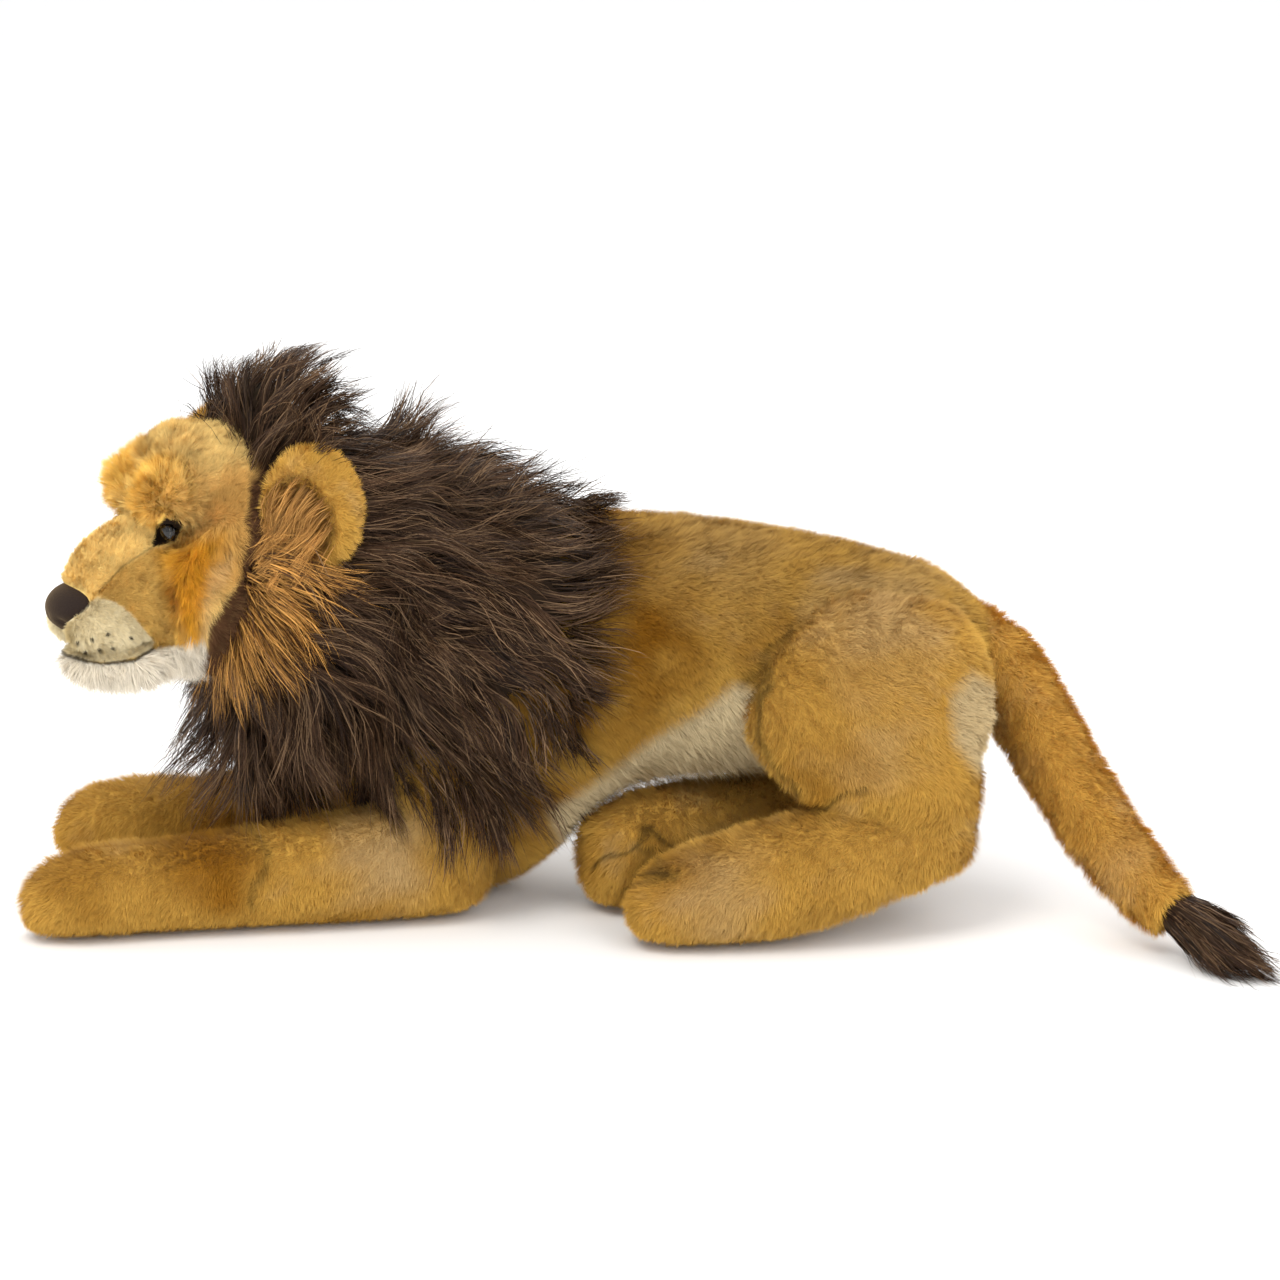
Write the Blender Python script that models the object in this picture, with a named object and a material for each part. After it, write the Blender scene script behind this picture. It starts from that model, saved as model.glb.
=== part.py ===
"""Plush lion lying on its front, in metres, +Z up, facing -X.

The origin is the flat on the floor under the chest. Each stuffed form is an egg, a loft
of oval rings or a turned profile, and a smaller form is cut by the larger ones it meets.
The lion's own left side is at -Y. Its head is turned to that side.
"""
import math

import bmesh
import bpy
from mathutils import Matrix, Vector

# Fits
gap = 0.0003
form_gap = 0.0005
turning_gap = 0.0008
flat_depth = 0.0005
panel_thickness = 0.0025
overrun = 0.060

# Mesh fineness
small_sides = 12
ring_sides = 14
torso_sides = 20
body_sides = 24
small_rings = 7
egg_rings = 8
ball_rings = 12
cap_rings = 2
foot_swing_steps = 4

# Body, stations along X from the chest's front to the rump
torso_front = -0.055
torso_length = 0.420
torso_height = 0.278
torso_half_width = 0.090
torso_cap = 0.018
torso_station_shares = (
    (0.000, 0.050, 0.424, 0.32),
    (0.045, 0.010, 0.942, 0.67),
    (0.085, 0.000, 0.971, 0.83),
    (0.155, 0.000, 0.989, 0.93),
    (0.215, 0.015, 0.996, 0.98),
    (0.283, 0.180, 1.000, 1.00),
    (0.345, 0.270, 1.000, 1.00),
    (0.417, 0.327, 1.000, 1.00),
    (0.512, 0.342, 0.993, 0.99),
    (0.593, 0.345, 0.978, 0.98),
    (0.750, 0.360, 0.942, 0.95),
    (0.881, 0.385, 0.888, 0.89),
    (0.952, 0.406, 0.842, 0.74),
    (1.000, 0.432, 0.784, 0.58),
)

# Belly panel and rump patch, shells on the body inside tilted blocks
belly_front = 0.060
belly_length = 0.185
belly_level = 0.086
belly_tilt = math.radians(15)
rump_level = 0.135
rump_tilt = math.radians(12)
rump_depth = 0.022
rump_half_width = 0.036
rump_half_height = 0.026

# Neck pivot, neck ball and the hood of the mane that turns round it
neck_x = -0.075
neck_y = -0.020
neck_z = 0.240
neck_radius = 0.060
hood_radius = 0.095
hood_back = 0.020
head_yaw = math.radians(28)
turn_inward = math.radians(30)
turn_outward = math.radians(15)
nod_range = math.radians(10)
stub_yaw = math.radians(20.5)
stub_pitch = math.radians(12)
stub_half_angle = math.radians(36)

# Head, reach and rise of its centre from the neck pivot
head_reach = 0.096
head_rise = 0.045
head_half_length = 0.048
head_half_width = 0.071
head_half_height = 0.063

# Muzzle, a loft forward from inside the head
muzzle_back = 0.108
muzzle_length = 0.084
muzzle_half_width = 0.044
muzzle_half_height = 0.053
muzzle_level = 0.012
muzzle_cap = 0.009
muzzle_station_shares = (
    (0.00, -0.95, 1.00, 1.00),
    (0.38, -0.95, 0.88, 0.94),
    (0.60, -0.92, 0.66, 0.82),
    (0.82, -0.86, 0.33, 0.66),
    (1.00, -0.75, 0.04, 0.50),
)

# Face pieces, places as shares of the head's half sizes from its centre
brow_place_shares = (0.94, 0.37, 0.46)
brow_half_length = 0.017
brow_half_width = 0.021
brow_half_height = 0.023
cheek_place_shares = (0.46, 0.70, -0.68)
cheek_half_length = 0.022
cheek_half_width = 0.017
cheek_half_height = 0.038
tuft_place_shares = (-0.58, 1.14, -1.30)
tuft_half_length = 0.034
tuft_half_width = 0.015
tuft_half_height = 0.048
band_thickness = 0.004
band_width = 0.018
band_back_share = -0.45

# Places as shares of the muzzle's length, half width and half height
lip_place_shares = (0.74, 0.45, -0.62)
lip_half_length = 0.031
lip_half_width = 0.0235
lip_half_height = 0.024
nose_place_shares = (1.02, 0.0, -0.36)
nose_half_length = 0.0125
nose_half_width = 0.019
nose_half_height = 0.015
chin_place_shares = (0.60, 0.0, -1.16)
chin_half_length = 0.041
chin_half_width = 0.044
chin_half_height = 0.019

# Eyes: a dome on a stem, held by a washer inside the head, on a felt patch
eye_direction_shares = (0.87, 0.50, 0.0)
eye_radius = 0.0065
eye_height = 0.0045
stem_radius = 0.0018
stem_length = 0.0094
washer_radius = 0.0070
washer_thickness = 0.0015
washer_depth = 0.0080
patch_half_thickness = 0.0015
patch_half_width = 0.0125
patch_half_height = 0.0085

# Ears, hinged at a root line on the side of the mane
ear_root_shares = (-0.42, 1.17, 0.27)
ear_lean = math.radians(25)
ear_half_length = 0.027
ear_half_thickness = 0.009
ear_half_height = 0.041
lining_share = 0.70
lining_proud = 0.002
ear_flex_in = math.radians(10)
ear_flex_out = math.radians(15)

# Mane ruff in front of the hood, stations along the head's forward direction
ruff_back = 0.025
ruff_length = 0.070
ruff_half_width = 0.092
ruff_half_height = 0.129
ruff_level = 0.016
ruff_cap = 0.012
ruff_station_shares = (
    (0.00, -0.94, 0.88, 0.97),
    (0.30, -1.00, 1.00, 1.00),
    (0.60, -0.97, 1.00, 0.98),
    (0.85, -0.88, 0.93, 0.92),
    (1.00, -0.78, 0.80, 0.85),
)

# Mane cape over the shoulders, stations along X, cut by the hood's swing
cape_front = -0.080
cape_length = 0.172
cape_height = 0.320
cape_half_width = 0.117
cape_centre_y = -0.005
cape_cap = 0.010
cape_station_shares = (
    (0.00, 0.36, 1.00, 0.94),
    (0.33, 0.29, 1.00, 1.00),
    (0.62, 0.30, 0.97, 0.99),
    (0.84, 0.36, 0.93, 0.93),
    (1.00, 0.46, 0.87, 0.83),
)
cape_setback = 0.020
cape_near_angle = math.radians(308)
cape_far_angle = math.radians(93)

# Front legs: an upright shoulder post and a forearm on the floor
shoulder_x = -0.011
shoulder_side = 0.062
post_radius = 0.040
post_height = 0.148
post_profile_shares = (
    (0.00, 0.00), (0.80, 0.00), (0.96, 0.10), (1.00, 0.30),
    (1.00, 0.62), (0.85, 0.81), (0.52, 0.95), (0.00, 1.00),
)
foreleg_length = 0.268
foreleg_half_width = 0.0375
foreleg_height = 0.080
foreleg_cap = 0.020
foreleg_left_yaw = math.radians(10)
foreleg_right_yaw = math.radians(0)
foreleg_station_shares = (
    (0.00, 0.99, 0.98),
    (0.25, 1.00, 1.00),
    (0.50, 0.96, 0.93),
    (0.72, 0.90, 0.85),
    (0.87, 0.96, 0.86),
    (1.00, 0.78, 0.74),
)
keel_half_width = 0.0225
keel_clear_length = 0.150
keel_clear_width = 0.110

# Hind legs: a thigh that turns on an upright drum, and a foot
hip_x = 0.314
hip_side = 0.082
drum_radius = 0.047
drum_bottom = 0.075
drum_top = 0.207
drum_profile_shares = (
    (0.00, 0.00), (0.70, 0.00), (0.95, 0.15), (1.00, 0.35),
    (1.00, 0.60), (0.87, 0.79), (0.52, 0.94), (0.00, 1.00),
)
knee_forward = 0.057
knee_out = 0.012
knee_level = 0.150
knee_tilt = math.radians(20)
knee_half_length = 0.068
knee_half_width = 0.035
knee_half_height = 0.052
shank_level = 0.094
shank_half_length = 0.044
shank_half_width = 0.034
shank_half_height = 0.053
shank_left_forward = 0.002
shank_left_out = 0.012
shank_right_forward = 0.030
shank_right_out = -0.018
hip_left_range = math.radians(25)
hip_right_range = math.radians(10)

# Feet, stations forward from the hock
hock_left_forward = -0.012
hock_left_out = 0.016
hock_right_forward = 0.049
hock_right_out = -0.032
foot_left_yaw = math.radians(8.5)
foot_right_yaw = math.radians(-32.8)
foot_length = 0.182
foot_half_width = 0.044
foot_height = 0.098
foot_back_cap = 0.026
foot_front_cap = 0.027
foot_left_station_shares = (
    (0.00, 0.32, 1.00, 0.80),
    (0.22, 0.13, 1.00, 0.91),
    (0.50, 0.00, 0.97, 1.00),
    (0.78, 0.00, 0.82, 0.93),
    (1.00, 0.00, 0.67, 0.76),
)
foot_right_station_shares = (
    (0.00, 0.32, 0.90, 0.80),
    (0.25, 0.10, 0.88, 0.84),
    (0.50, 0.00, 0.87, 0.88),
    (0.72, 0.00, 0.87, 0.94),
    (1.00, 0.00, 0.84, 0.88),
)

# Tail, from its root in the rump out to the left and down to the floor
tail_x = 0.380
tail_z = 0.190
tail_run = 0.108
tail_sweep = 0.140
tail_drop = 0.162
tail_root_radius = 0.027
tail_radius = 0.025
tail_mid_ball = 0.0265
tail_end_cap = 0.008
tail_root_range = math.radians(25)
tail_mid_range = math.radians(20)
tail_path_shares = (
    (0.00, 0.00, 0.00, 1.04),
    (0.17, 0.14, 0.12, 1.04),
    (0.32, 0.32, 0.31, 1.00),
    (0.46, 0.50, 0.51, 0.96),
    (0.69, 0.71, 0.75, 0.92),
    (1.00, 1.00, 1.00, 0.86),
)
tail_mid_station = 3
tail_tuft_run = 0.064
tail_tuft_sweep = 0.091
tail_tuft_drop = 0.018
tail_tuft_radius = 0.019
tail_tuft_cap = 0.010
tail_tuft_station_shares = (
    (0.03, 0.80),
    (0.30, 1.00),
    (0.60, 0.74),
    (0.90, 0.26),
)

# Colours, linear, from the fabrics
gold = (0.44, 0.22, 0.032)
gold_light = (0.63, 0.40, 0.13)
cream = (0.68, 0.58, 0.38)
white_plush = (0.72, 0.64, 0.50)
mane_brown = (0.052, 0.032, 0.017)
tuft_orange = (0.52, 0.24, 0.07)
felt_brown = (0.036, 0.022, 0.016)
velour_brown = (0.036, 0.024, 0.020)
eye_black = (0.008, 0.007, 0.006)
washer_white = (0.75, 0.75, 0.72)
filling_white = (0.80, 0.80, 0.78)

neck = Vector((neck_x, neck_y, neck_z))
forward = Vector((-math.cos(head_yaw), -math.sin(head_yaw), 0))
leftward = Vector((math.sin(head_yaw), -math.cos(head_yaw), 0))
upward = Vector((0, 0, 1))


def turned(point, pivot, angle):
    """The point turned about the upright line through pivot."""
    return pivot + Matrix.Rotation(angle, 3, "Z") @ (point - pivot)


def turned_axes(axes, angle):
    return [Matrix.Rotation(angle, 3, "Z") @ axis for axis in axes]


def egg(centre, halves, axes, grow=0, rings=egg_rings, sides=ring_sides):
    """An egg with its half sizes along three axes; its poles are on the third."""
    wide = [half + grow for half in halves]
    points = [centre - axes[2] * wide[2]]
    for ring in range(1, rings):
        slope = math.pi * ring / rings - math.pi / 2
        for side in range(sides):
            spin = 2 * math.pi * side / sides
            across = axes[0] * wide[0] * math.cos(spin) + axes[1] * wide[1] * math.sin(spin)
            points.append(centre + across * math.cos(slope) + axes[2] * wide[2] * math.sin(slope))
    points.append(centre + axes[2] * wide[2])
    return points, stacked_faces(rings - 1, sides)


def small_egg(centre, halves, axes, grow=0):
    return egg(centre, halves, axes, grow, rings=small_rings, sides=small_sides)


def stacked_faces(rings, sides):
    """Faces of rings of points between a first and a last point, facing out."""
    last = rings * sides + 1
    faces = []
    for side in range(sides):
        after = (side + 1) % sides
        faces.append((0, 1 + after, 1 + side))
        faces.append((last, last - sides + side, last - sides + after))
        for ring in range(rings - 1):
            low = 1 + ring * sides
            high = low + sides
            faces.append((low + side, low + after, high + after))
            faces.append((low + side, high + after, high + side))
    return faces


def loft(stations, grow=0, start_cap=0, end_cap=0, sides=ring_sides):
    """Oval rings through stations of centre, across, rise, half width and half height.

    Each end is closed by a rounded cap of the given length.
    """
    first = stations[0]
    last = stations[-1]
    rings = []
    backward = (first[0] - stations[1][0]).normalized()
    onward = (last[0] - stations[-2][0]).normalized()
    for step in range(cap_rings, 0, -1):
        bend = math.pi / 2 * step / (cap_rings + 1)
        shift = backward * (start_cap + grow) * math.sin(bend)
        rings.append((first[0] + shift, first[1], first[2], first[3], first[4], math.cos(bend)))
    for station in stations:
        rings.append((*station, 1))
    for step in range(1, cap_rings + 1):
        bend = math.pi / 2 * step / (cap_rings + 1)
        shift = onward * (end_cap + grow) * math.sin(bend)
        rings.append((last[0] + shift, last[1], last[2], last[3], last[4], math.cos(bend)))
    points = [first[0] + backward * (start_cap + grow)]
    for centre, across, rise, half_width, half_height, share in rings:
        for side in range(sides):
            spin = 2 * math.pi * side / sides
            over = across * (half_width + grow) * math.cos(spin)
            up = rise * (half_height + grow) * math.sin(spin)
            points.append(centre + (over + up) * share)
    points.append(last[0] + onward * (end_cap + grow))
    return points, stacked_faces(len(rings), sides)


def turned_solid(foot, axis, profile, grow=0, sides=body_sides):
    """A profile of radius and height turned about an axis from its foot."""
    side_axis = axis.orthogonal().normalized()
    other_axis = axis.cross(side_axis).normalized()
    top = len(profile) - 1
    points = [foot + axis * (profile[0][1] - grow)]
    for index in range(1, top):
        radius, height = profile[index]
        lift = -grow if height == profile[0][1] else grow * index / top
        for side in range(sides):
            spin = 2 * math.pi * side / sides
            across = side_axis * math.cos(spin) + other_axis * math.sin(spin)
            points.append(foot + across * (radius + grow) + axis * (height + lift))
    points.append(foot + axis * (profile[top][1] + grow))
    return points, stacked_faces(top - 1, sides)


def ball(centre, radius, grow=0):
    return egg(centre, (radius, radius, radius), (forward, leftward, upward), grow,
               rings=ball_rings, sides=body_sides)


def clear_radius(radius):
    """The radius of a faceted hollow that clears a faceted ball at every turn."""
    return (radius + gap) / math.cos(math.pi / body_sides) ** 2


def neck_ball(lateral, half_length):
    """A ball about the neck with its poles on the line that the head nods about."""
    return egg(neck, (lateral, lateral, half_length), (upward, forward, leftward),
               rings=ball_rings, sides=body_sides)


def neck_hollow():
    """The hollow that nods on the neck filling, closest to it at the two poles."""
    facet = math.cos(math.pi / body_sides)
    return neck_ball((neck_radius + gap) / facet, neck_radius + gap)


def dent_radius(rings):
    """The radius of the stub's faceted dent, which clears the neck filling at any turn."""
    chord = math.cos(stub_half_angle / (2 * rings))
    facet = 1 - (1 - math.cos(math.pi / body_sides)) * math.sin(stub_half_angle) ** 2
    return (neck_radius + gap) / chord / facet


def block(low, high, axes=(Vector((1, 0, 0)), Vector((0, 1, 0)), Vector((0, 0, 1))),
          origin=Vector((0, 0, 0))):
    """A box between two corners given along three axes from an origin."""
    points = []
    for x in (low[0], high[0]):
        for y in (low[1], high[1]):
            for z in (low[2], high[2]):
                points.append(origin + axes[0] * x + axes[1] * y + axes[2] * z)
    faces = [(0, 1, 3, 2), (4, 6, 7, 5), (0, 4, 5, 1), (2, 3, 7, 6), (0, 2, 6, 4), (1, 5, 7, 3)]
    return points, faces


def mesh_object(name, form, pivot):
    """An object with its origin at the pivot and its faces turned outward."""
    points, faces = form
    mesh = bpy.data.meshes.new(name)
    mesh.from_pydata([point - pivot for point in points], [], faces)
    work = bmesh.new()
    work.from_mesh(mesh)
    bmesh.ops.recalc_face_normals(work, faces=work.faces)
    work.to_mesh(mesh)
    work.free()
    mesh.shade_smooth()
    thing = bpy.data.objects.new(name, mesh)
    thing.location = pivot
    bpy.context.scene.collection.objects.link(thing)
    return thing


def fabric(name, colour, roughness):
    surface = bpy.data.materials.new(name)
    surface.use_nodes = True
    shader = surface.node_tree.nodes["Principled BSDF"]
    shader.inputs["Base Color"].default_value = (*colour, 1)
    shader.inputs["Roughness"].default_value = roughness
    return surface


def operate(thing, form, operation):
    """A Boolean with a hidden copy of the form."""
    count = len(thing.modifiers) + 1
    tool = mesh_object(f"{thing.name}_tool_{count}", form, Vector((0, 0, 0)))
    tool.hide_render = True
    tool.display_type = "WIRE"
    step = thing.modifiers.new(f"{operation.lower()}_{count}", "BOOLEAN")
    step.operation = operation
    step.solver = "EXACT"
    step.object = tool


def piece(name, form, colour, pivot, joined=(), kept=(), cut=(), roughness=0.9):
    """A named piece: a form joined with some, kept inside some and cut by others."""
    thing = mesh_object(name, form, pivot)
    thing.data.materials.append(fabric(name, colour, roughness))
    for other in joined:
        operate(thing, other, "UNION")
    for other in kept:
        operate(thing, other, "INTERSECT")
    for other in cut:
        operate(thing, other, "DIFFERENCE")
    return thing


def head_point(ahead, side, rise):
    return neck + forward * ahead + leftward * side + upward * rise


def face_point(shares, side):
    """A place on the head; side is 1 on the lion's left and -1 on its right."""
    ahead = head_reach + shares[0] * head_half_length
    rise = head_rise + shares[2] * head_half_height
    return head_point(ahead, side * shares[1] * head_half_width, rise)


def muzzle_point(shares, side):
    ahead = muzzle_back + shares[0] * muzzle_length
    rise = muzzle_level + shares[2] * muzzle_half_height
    return head_point(ahead, side * shares[1] * muzzle_half_width, rise)


def head_egg(centre, halves, grow=0):
    return small_egg(centre, halves, (forward, leftward, upward), grow)


def head_form(grow=0):
    centre = head_point(head_reach, 0, head_rise)
    halves = (head_half_length, head_half_width, head_half_height)
    return egg(centre, halves, (forward, leftward, upward), grow,
               rings=ball_rings, sides=body_sides)


def head_loft(shares, back, length, half_width, half_height, level, grow, caps):
    stations = []
    for along, low, high, width in shares:
        rise = level + (low + high) / 2 * half_height
        centre = head_point(back + along * length, 0, rise)
        stations.append((centre, leftward, upward, width * half_width,
                         (high - low) / 2 * half_height))
    return loft(stations, grow, *caps)


def muzzle_form(grow=0):
    return head_loft(muzzle_station_shares, muzzle_back, muzzle_length, muzzle_half_width,
                     muzzle_half_height, muzzle_level, grow, (0, muzzle_cap))


def ruff_form(grow=0):
    return head_loft(ruff_station_shares, ruff_back, ruff_length, ruff_half_width,
                     ruff_half_height, ruff_level, grow, (0, ruff_cap))


def brow_form(side, grow=0):
    halves = (brow_half_length, brow_half_width, brow_half_height)
    return head_egg(face_point(brow_place_shares, side), halves, grow)


def cheek_form(side, grow=0):
    halves = (cheek_half_length, cheek_half_width, cheek_half_height)
    return head_egg(face_point(cheek_place_shares, side), halves, grow)


def tuft_form(side, grow=0):
    halves = (tuft_half_length, tuft_half_width, tuft_half_height)
    return head_egg(face_point(tuft_place_shares, side), halves, grow)


def lip_form(side, grow=0):
    halves = (lip_half_length, lip_half_width, lip_half_height)
    return head_egg(muzzle_point(lip_place_shares, side), halves, grow)


def nose_form(grow=0):
    halves = (nose_half_length, nose_half_width, nose_half_height)
    return head_egg(muzzle_point(nose_place_shares, 1), halves, grow)


def chin_form(grow=0):
    halves = (chin_half_length, chin_half_width, chin_half_height)
    return head_egg(muzzle_point(chin_place_shares, 1), halves, grow)


def eye_frame(side):
    """The eye's seat on the head's surface, its outward axis, and its across and up."""
    shares = Vector((eye_direction_shares[0], side * eye_direction_shares[1],
                     eye_direction_shares[2])).normalized()
    halves = (head_half_length, head_half_width, head_half_height)
    seat = head_point(head_reach + shares[0] * halves[0], shares[1] * halves[1],
                      head_rise + shares[2] * halves[2])
    out = (forward * shares[0] / halves[0] + leftward * shares[1] / halves[1]
           + upward * shares[2] / halves[2]).normalized()
    across = upward.cross(out).normalized()
    return seat, out, across


def eye_dome(side, grow=0):
    seat, out, across = eye_frame(side)
    base = patch_half_thickness + gap
    profile = [(0, base), (eye_radius, base)]
    for step in range(1, cap_rings + 2):
        bend = math.pi / 2 * step / (cap_rings + 2)
        profile.append((eye_radius * math.cos(bend), base + eye_height * math.sin(bend)))
    profile.append((0, base + eye_height))
    return turned_solid(seat, out, profile, grow, sides=small_sides)


def eye_hole(side):
    """The hole for the stem through the head, and the washer's hollow behind it."""
    seat, out, across = eye_frame(side)
    low = -washer_depth - washer_thickness - gap
    profile = [(0, low), (washer_radius + gap, low), (washer_radius + gap, gap - washer_depth),
               (stem_radius + gap, gap - washer_depth), (stem_radius + gap, eye_height),
               (0, eye_height)]
    return turned_solid(seat, out, profile, 0, sides=small_sides)


def eye_stem(side, grow=0):
    seat, out, across = eye_frame(side)
    profile = [(0, -stem_length), (stem_radius, -stem_length),
               (stem_radius, patch_half_thickness + 2 * gap),
               (0, patch_half_thickness + 2 * gap)]
    return turned_solid(seat, out, profile, grow, sides=small_sides)


def eye_washer(side, grow=0):
    seat, out, across = eye_frame(side)
    low = -washer_depth - washer_thickness
    profile = [(0, low), (washer_radius, low), (washer_radius, -washer_depth), (0, -washer_depth)]
    return turned_solid(seat, out, profile, grow, sides=small_sides)


def eye_patch(side, grow=0):
    seat, out, across = eye_frame(side)
    halves = (patch_half_thickness, patch_half_width, patch_half_height)
    return small_egg(seat, halves, (out, across, out.cross(across)), grow)


def eye_room(side):
    """Free space in front of the eye, kept clear of brow, cheek and muzzle."""
    seat, out, across = eye_frame(side)
    profile = [(0, -patch_half_thickness), (eye_radius + form_gap, -patch_half_thickness),
               (eye_radius + 2 * patch_half_thickness, overrun),
               (0, overrun)]
    return turned_solid(seat, out, profile, 0, sides=small_sides)


def ear_root(side):
    return face_point(ear_root_shares, side)


def ear_axes(side, flex):
    lean = ear_lean + flex
    along = -forward * math.cos(lean) + leftward * side * math.sin(lean)
    outward = forward * math.sin(lean) + leftward * side * math.cos(lean)
    return along, outward


def ear_form(side, grow=0, flex=0):
    along, outward = ear_axes(side, flex)
    centre = ear_root(side) + along * ear_half_length
    halves = (ear_half_length, ear_half_thickness, ear_half_height)
    return small_egg(centre, halves, (along, outward, upward), grow)


def lining_form(side, grow=0, flex=0):
    along, outward = ear_axes(side, flex)
    proud = ear_half_thickness * (1 - lining_share) + lining_proud
    centre = ear_root(side) + along * ear_half_length + outward * proud
    halves = (ear_half_length * lining_share, ear_half_thickness * lining_share,
              ear_half_height * lining_share)
    return small_egg(centre, halves, (along, outward, upward), grow)


def ear_swing(side):
    """Room for the ear and its lining from one end of the flex to the other."""
    room = []
    for flex in (-ear_flex_in, 0, ear_flex_out):
        room.append(ear_form(side, turning_gap, flex))
    return room


def torso_form(grow=0):
    stations = []
    for along, low, high, width in torso_station_shares:
        bottom = low * torso_height - flat_depth
        top = high * torso_height
        centre = Vector((torso_front + along * torso_length, 0, (bottom + top) / 2))
        stations.append((centre, Vector((0, 1, 0)), upward, width * torso_half_width,
                         (top - bottom) / 2))
    return loft(stations, grow, torso_cap, torso_cap, sides=torso_sides)


def hood_swing():
    """The room that the hood turns in, with the neck stub left standing at its back."""
    stub = Vector((math.cos(stub_yaw) * math.cos(stub_pitch),
                   math.sin(stub_yaw) * math.cos(stub_pitch), -math.sin(stub_pitch)))
    dent_rings = ball_rings // 3
    inner = dent_radius(dent_rings)
    outer = clear_radius(hood_radius)
    profile = [(0, -outer)]
    sweep = math.pi - stub_half_angle
    for step in range(1, ball_rings + 1):
        bend = sweep * step / ball_rings
        profile.append((outer * math.sin(bend), -outer * math.cos(bend)))
    for step in range(dent_rings):
        bend = stub_half_angle * (1 - step / dent_rings)
        profile.append((inner * math.sin(bend), inner * math.cos(bend)))
    profile.append((0, inner))
    return turned_solid(neck, stub, profile)


def front_sector():
    """The space ahead of the cape, where the head's mane and ears turn."""
    back = Vector((math.cos(stub_yaw), math.sin(stub_yaw), 0))
    corner = Vector((neck.x, neck.y, 0)) + back * cape_setback
    reach = 2 * cape_half_width
    near = corner + reach * Vector((math.cos(cape_near_angle), math.sin(cape_near_angle), 0))
    far = corner + reach * Vector((math.cos(cape_far_angle), math.sin(cape_far_angle), 0))
    outline = [corner, far, far - back * 2 * reach, near - back * 2 * reach, near]
    lift = upward * (cape_height + overrun)
    points = outline + [point + lift for point in outline]
    count = len(outline)
    faces = [tuple(range(count)), tuple(range(2 * count - 1, count - 1, -1))]
    for index in range(count):
        after = (index + 1) % count
        faces.append((index, after, after + count, index + count))
    return points, faces


def cape_form(grow=0):
    stations = []
    for along, low, high, width in cape_station_shares:
        level = (low + high) / 2 * cape_height
        centre = Vector((cape_front + along * cape_length, cape_centre_y, level))
        stations.append((centre, Vector((0, 1, 0)), upward, width * cape_half_width,
                         (high - low) / 2 * cape_height))
    return loft(stations, grow, 0, cape_cap, sides=torso_sides)


def shoulder_point(side):
    return Vector((shoulder_x, -side * shoulder_side, 0))


def scaled(shares, radius, bottom, height):
    return [(across * radius, bottom + share * height) for across, share in shares]


def post_form(side, grow=0):
    profile = scaled(post_profile_shares, post_radius, -flat_depth, post_height + flat_depth)
    return turned_solid(shoulder_point(side), upward, profile, grow)


def ahead_and_across(yaw, side):
    """Directions along a limb and across it, yaw turned outward on its own side."""
    along = Vector((-math.cos(yaw), -side * math.sin(yaw), 0))
    return along, upward.cross(along)


def foreleg_form(side, grow=0):
    yaw = foreleg_left_yaw if side > 0 else foreleg_right_yaw
    along, across = ahead_and_across(yaw, side)
    stations = []
    for share, width, height in foreleg_station_shares:
        half = (height * foreleg_height + flat_depth) / 2
        centre = shoulder_point(side) + along * share * foreleg_length
        stations.append((centre + upward * (half - flat_depth), across, upward,
                         width * foreleg_half_width, half))
    return loft(stations, grow, 0, foreleg_cap)


def keel_room(side):
    """Room beside the chest's keel for a forearm at the inner end of its splay."""
    low = (shoulder_x - keel_clear_length, keel_half_width, -overrun)
    high = (shoulder_x, keel_half_width + keel_clear_width, foreleg_height + 2 * form_gap)
    if side > 0:
        low, high = (low[0], -high[1], low[2]), (high[0], -low[1], high[2])
    return block(low, high)


def floor_room():
    return block((-2 * torso_length, -torso_length, -overrun), (2 * torso_length, torso_length, 0))


def hip_point(side):
    return Vector((hip_x, -side * hip_side, 0))


def drum_form(side, grow=0):
    profile = scaled(drum_profile_shares, drum_radius, drum_bottom, drum_top - drum_bottom)
    return turned_solid(hip_point(side), upward, profile, grow)


def knee_form(side, grow=0):
    centre = hip_point(side) + Vector((-knee_forward, -side * knee_out, knee_level))
    along = Vector((-math.cos(knee_tilt), 0, -math.sin(knee_tilt)))
    across = Vector((0, 1, 0))
    halves = (knee_half_length, knee_half_width, knee_half_height)
    return egg(centre, halves, (along, across, along.cross(across)), grow)


def shank_form(side, grow=0, turn=0):
    ahead = shank_left_forward if side > 0 else shank_right_forward
    out = shank_left_out if side > 0 else shank_right_out
    hip = hip_point(side)
    centre = turned(hip + Vector((-ahead, -side * out, shank_level)), hip, turn)
    halves = (shank_half_length, shank_half_width, shank_half_height)
    axes = turned_axes((Vector((1, 0, 0)), Vector((0, 1, 0)), upward), turn)
    return egg(centre, halves, axes, grow)


def foot_form(side, grow=0, turn=0):
    """The hind foot, turned about the hip's upright axis."""
    ahead = hock_left_forward if side > 0 else hock_right_forward
    out = hock_left_out if side > 0 else hock_right_out
    yaw = foot_left_yaw if side > 0 else foot_right_yaw
    shares = foot_left_station_shares if side > 0 else foot_right_station_shares
    hip = hip_point(side)
    along, across = turned_axes(ahead_and_across(yaw, side), turn)
    hock = turned(hip + Vector((-ahead, -side * out, 0)), hip, turn)
    stations = []
    for share, low, high, width in shares:
        bottom = low * foot_height - flat_depth
        top = high * foot_height
        centre = hock + along * share * foot_length + upward * (bottom + top) / 2
        stations.append((centre, across, upward, width * foot_half_width, (top - bottom) / 2))
    return loft(stations, grow, foot_back_cap, foot_front_cap)


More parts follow.
